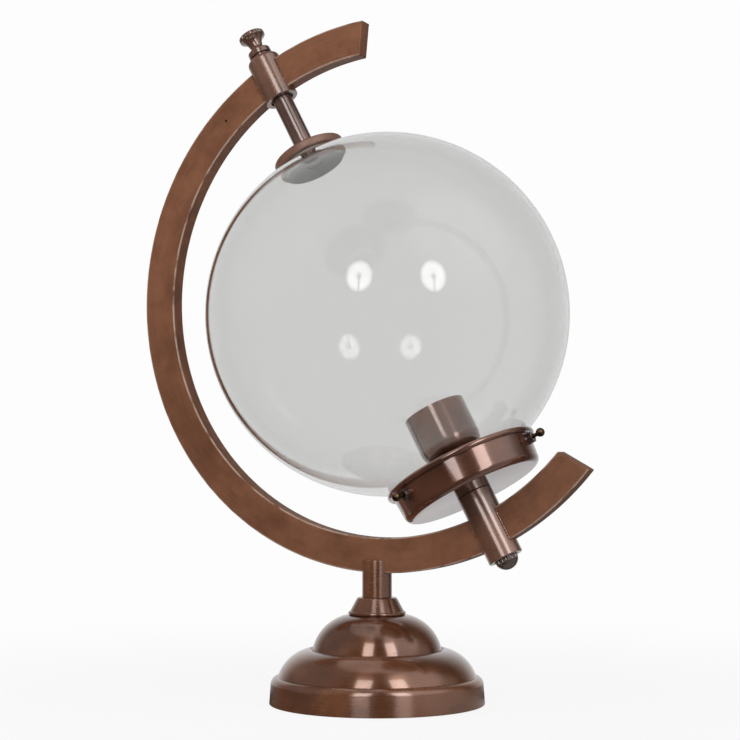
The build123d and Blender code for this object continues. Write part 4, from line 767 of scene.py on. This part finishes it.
LIGHT_AWAY, UMBRELLA_RISE, SOFT_RISE = 1.6, 17.6, 21.0
glass_only, not_glass = (bpy.data.collections.new(name) for name in ("glass_only", "not_glass"))
for group, state in ((glass_only, "INCLUDE"), (not_glass, "EXCLUDE")):
    group.objects.link(globe)
    group.collection_objects[0].light_linking.link_state = state
for name, azimuth in (("left", 8.6), ("right", 53.2)):
    umbrella = bpy.data.lights.new("umbrella_" + name, "AREA")
    umbrella.shape, umbrella.size, umbrella.size_y, umbrella.energy = "ELLIPSE", 0.43, 0.52, 3.1
    umbrella.use_nodes = True
    umbrella.node_tree.nodes.clear()
    tone = Tone(umbrella.node_tree)
    cloth = tone.node("ShaderNodeNewGeometry", out="Parametric")
    off = tone.node("ShaderNodeVectorMath", {"operation": "DISTANCE"}, {0: cloth, 1: (0.5, 0.5, 0.0)}, out="Value")
    across = tone.node("ShaderNodeSeparateXYZ", None, {0: cloth})
    along = across.also(1) - 0.5
    across = across - 0.5
    ribs = tone.node("ShaderNodeMath", {"operation": "SINE"}, {0: tone.sums("ARCTAN2", along, across) * 4}).size()
    shaft = tone.sums("MAXIMUM", across.size().between(0.010, 0.030), along.between(-0.02, 0.0))
    hub = 0.35 + off.between(0.08, 0.12) * 0.65
    edge = 1 - off.between(0.36, 0.5) * 0.6
    cover = hub * shaft * edge * (0.85 + ribs.between(0.0, 0.3) * 0.15)
    glow = tone.node("ShaderNodeEmission", None, {"Color": cover.blend(grey(0), grey(1)), "Strength": 1.0})
    tone.node("ShaderNodeOutputLight", None, {"Surface": glow})
    box = set_up("umbrella_" + name, umbrella, stand_at(azimuth, UMBRELLA_RISE))
    box.light_linking.receiver_collection = glass_only
    box.visible_camera = box.visible_diffuse = False
    soft = bpy.data.lights.new("soft_" + name, "AREA")
    soft.shape, soft.size, soft.size_y, soft.energy = "RECTANGLE", 0.5, 1.4, 7.4
    box = set_up("soft_" + name, soft, stand_at(azimuth, SOFT_RISE))
    box.light_linking.receiver_collection = not_glass
    box.visible_camera = box.visible_transmission = False

FILL_AT, FILL_WAY = Vector((-0.95, -1.05, 0.40)), Vector((-0.95, -1.05, 0.12)).normalized()
fill = bpy.data.lights.new("fill", "AREA")
fill.shape, fill.size, fill.energy = "DISK", 0.8, 8.5
box = set_up("fill", fill, Matrix.Translation(FILL_AT) @ FILL_WAY.to_track_quat("Z", "Y").to_matrix().to_4x4())
box.visible_camera = box.visible_glossy = box.visible_transmission = False

EYE = (0.515306, -1.065780, 0.162558)
RIGHT, UP = Vector((0.89851, 0.43896, 0.0)), Vector((0.02416, -0.04945, 0.99848))
camera = bpy.data.cameras.new("camera")
camera.lens, camera.sensor_width = 83.62, 36.0
view = Matrix((RIGHT, UP, RIGHT.cross(UP))).transposed().to_4x4()
bpy.context.scene.camera = set_up("camera", camera, Matrix.Translation(EYE) @ view)
bpy.context.scene.view_settings.view_transform = "Standard"
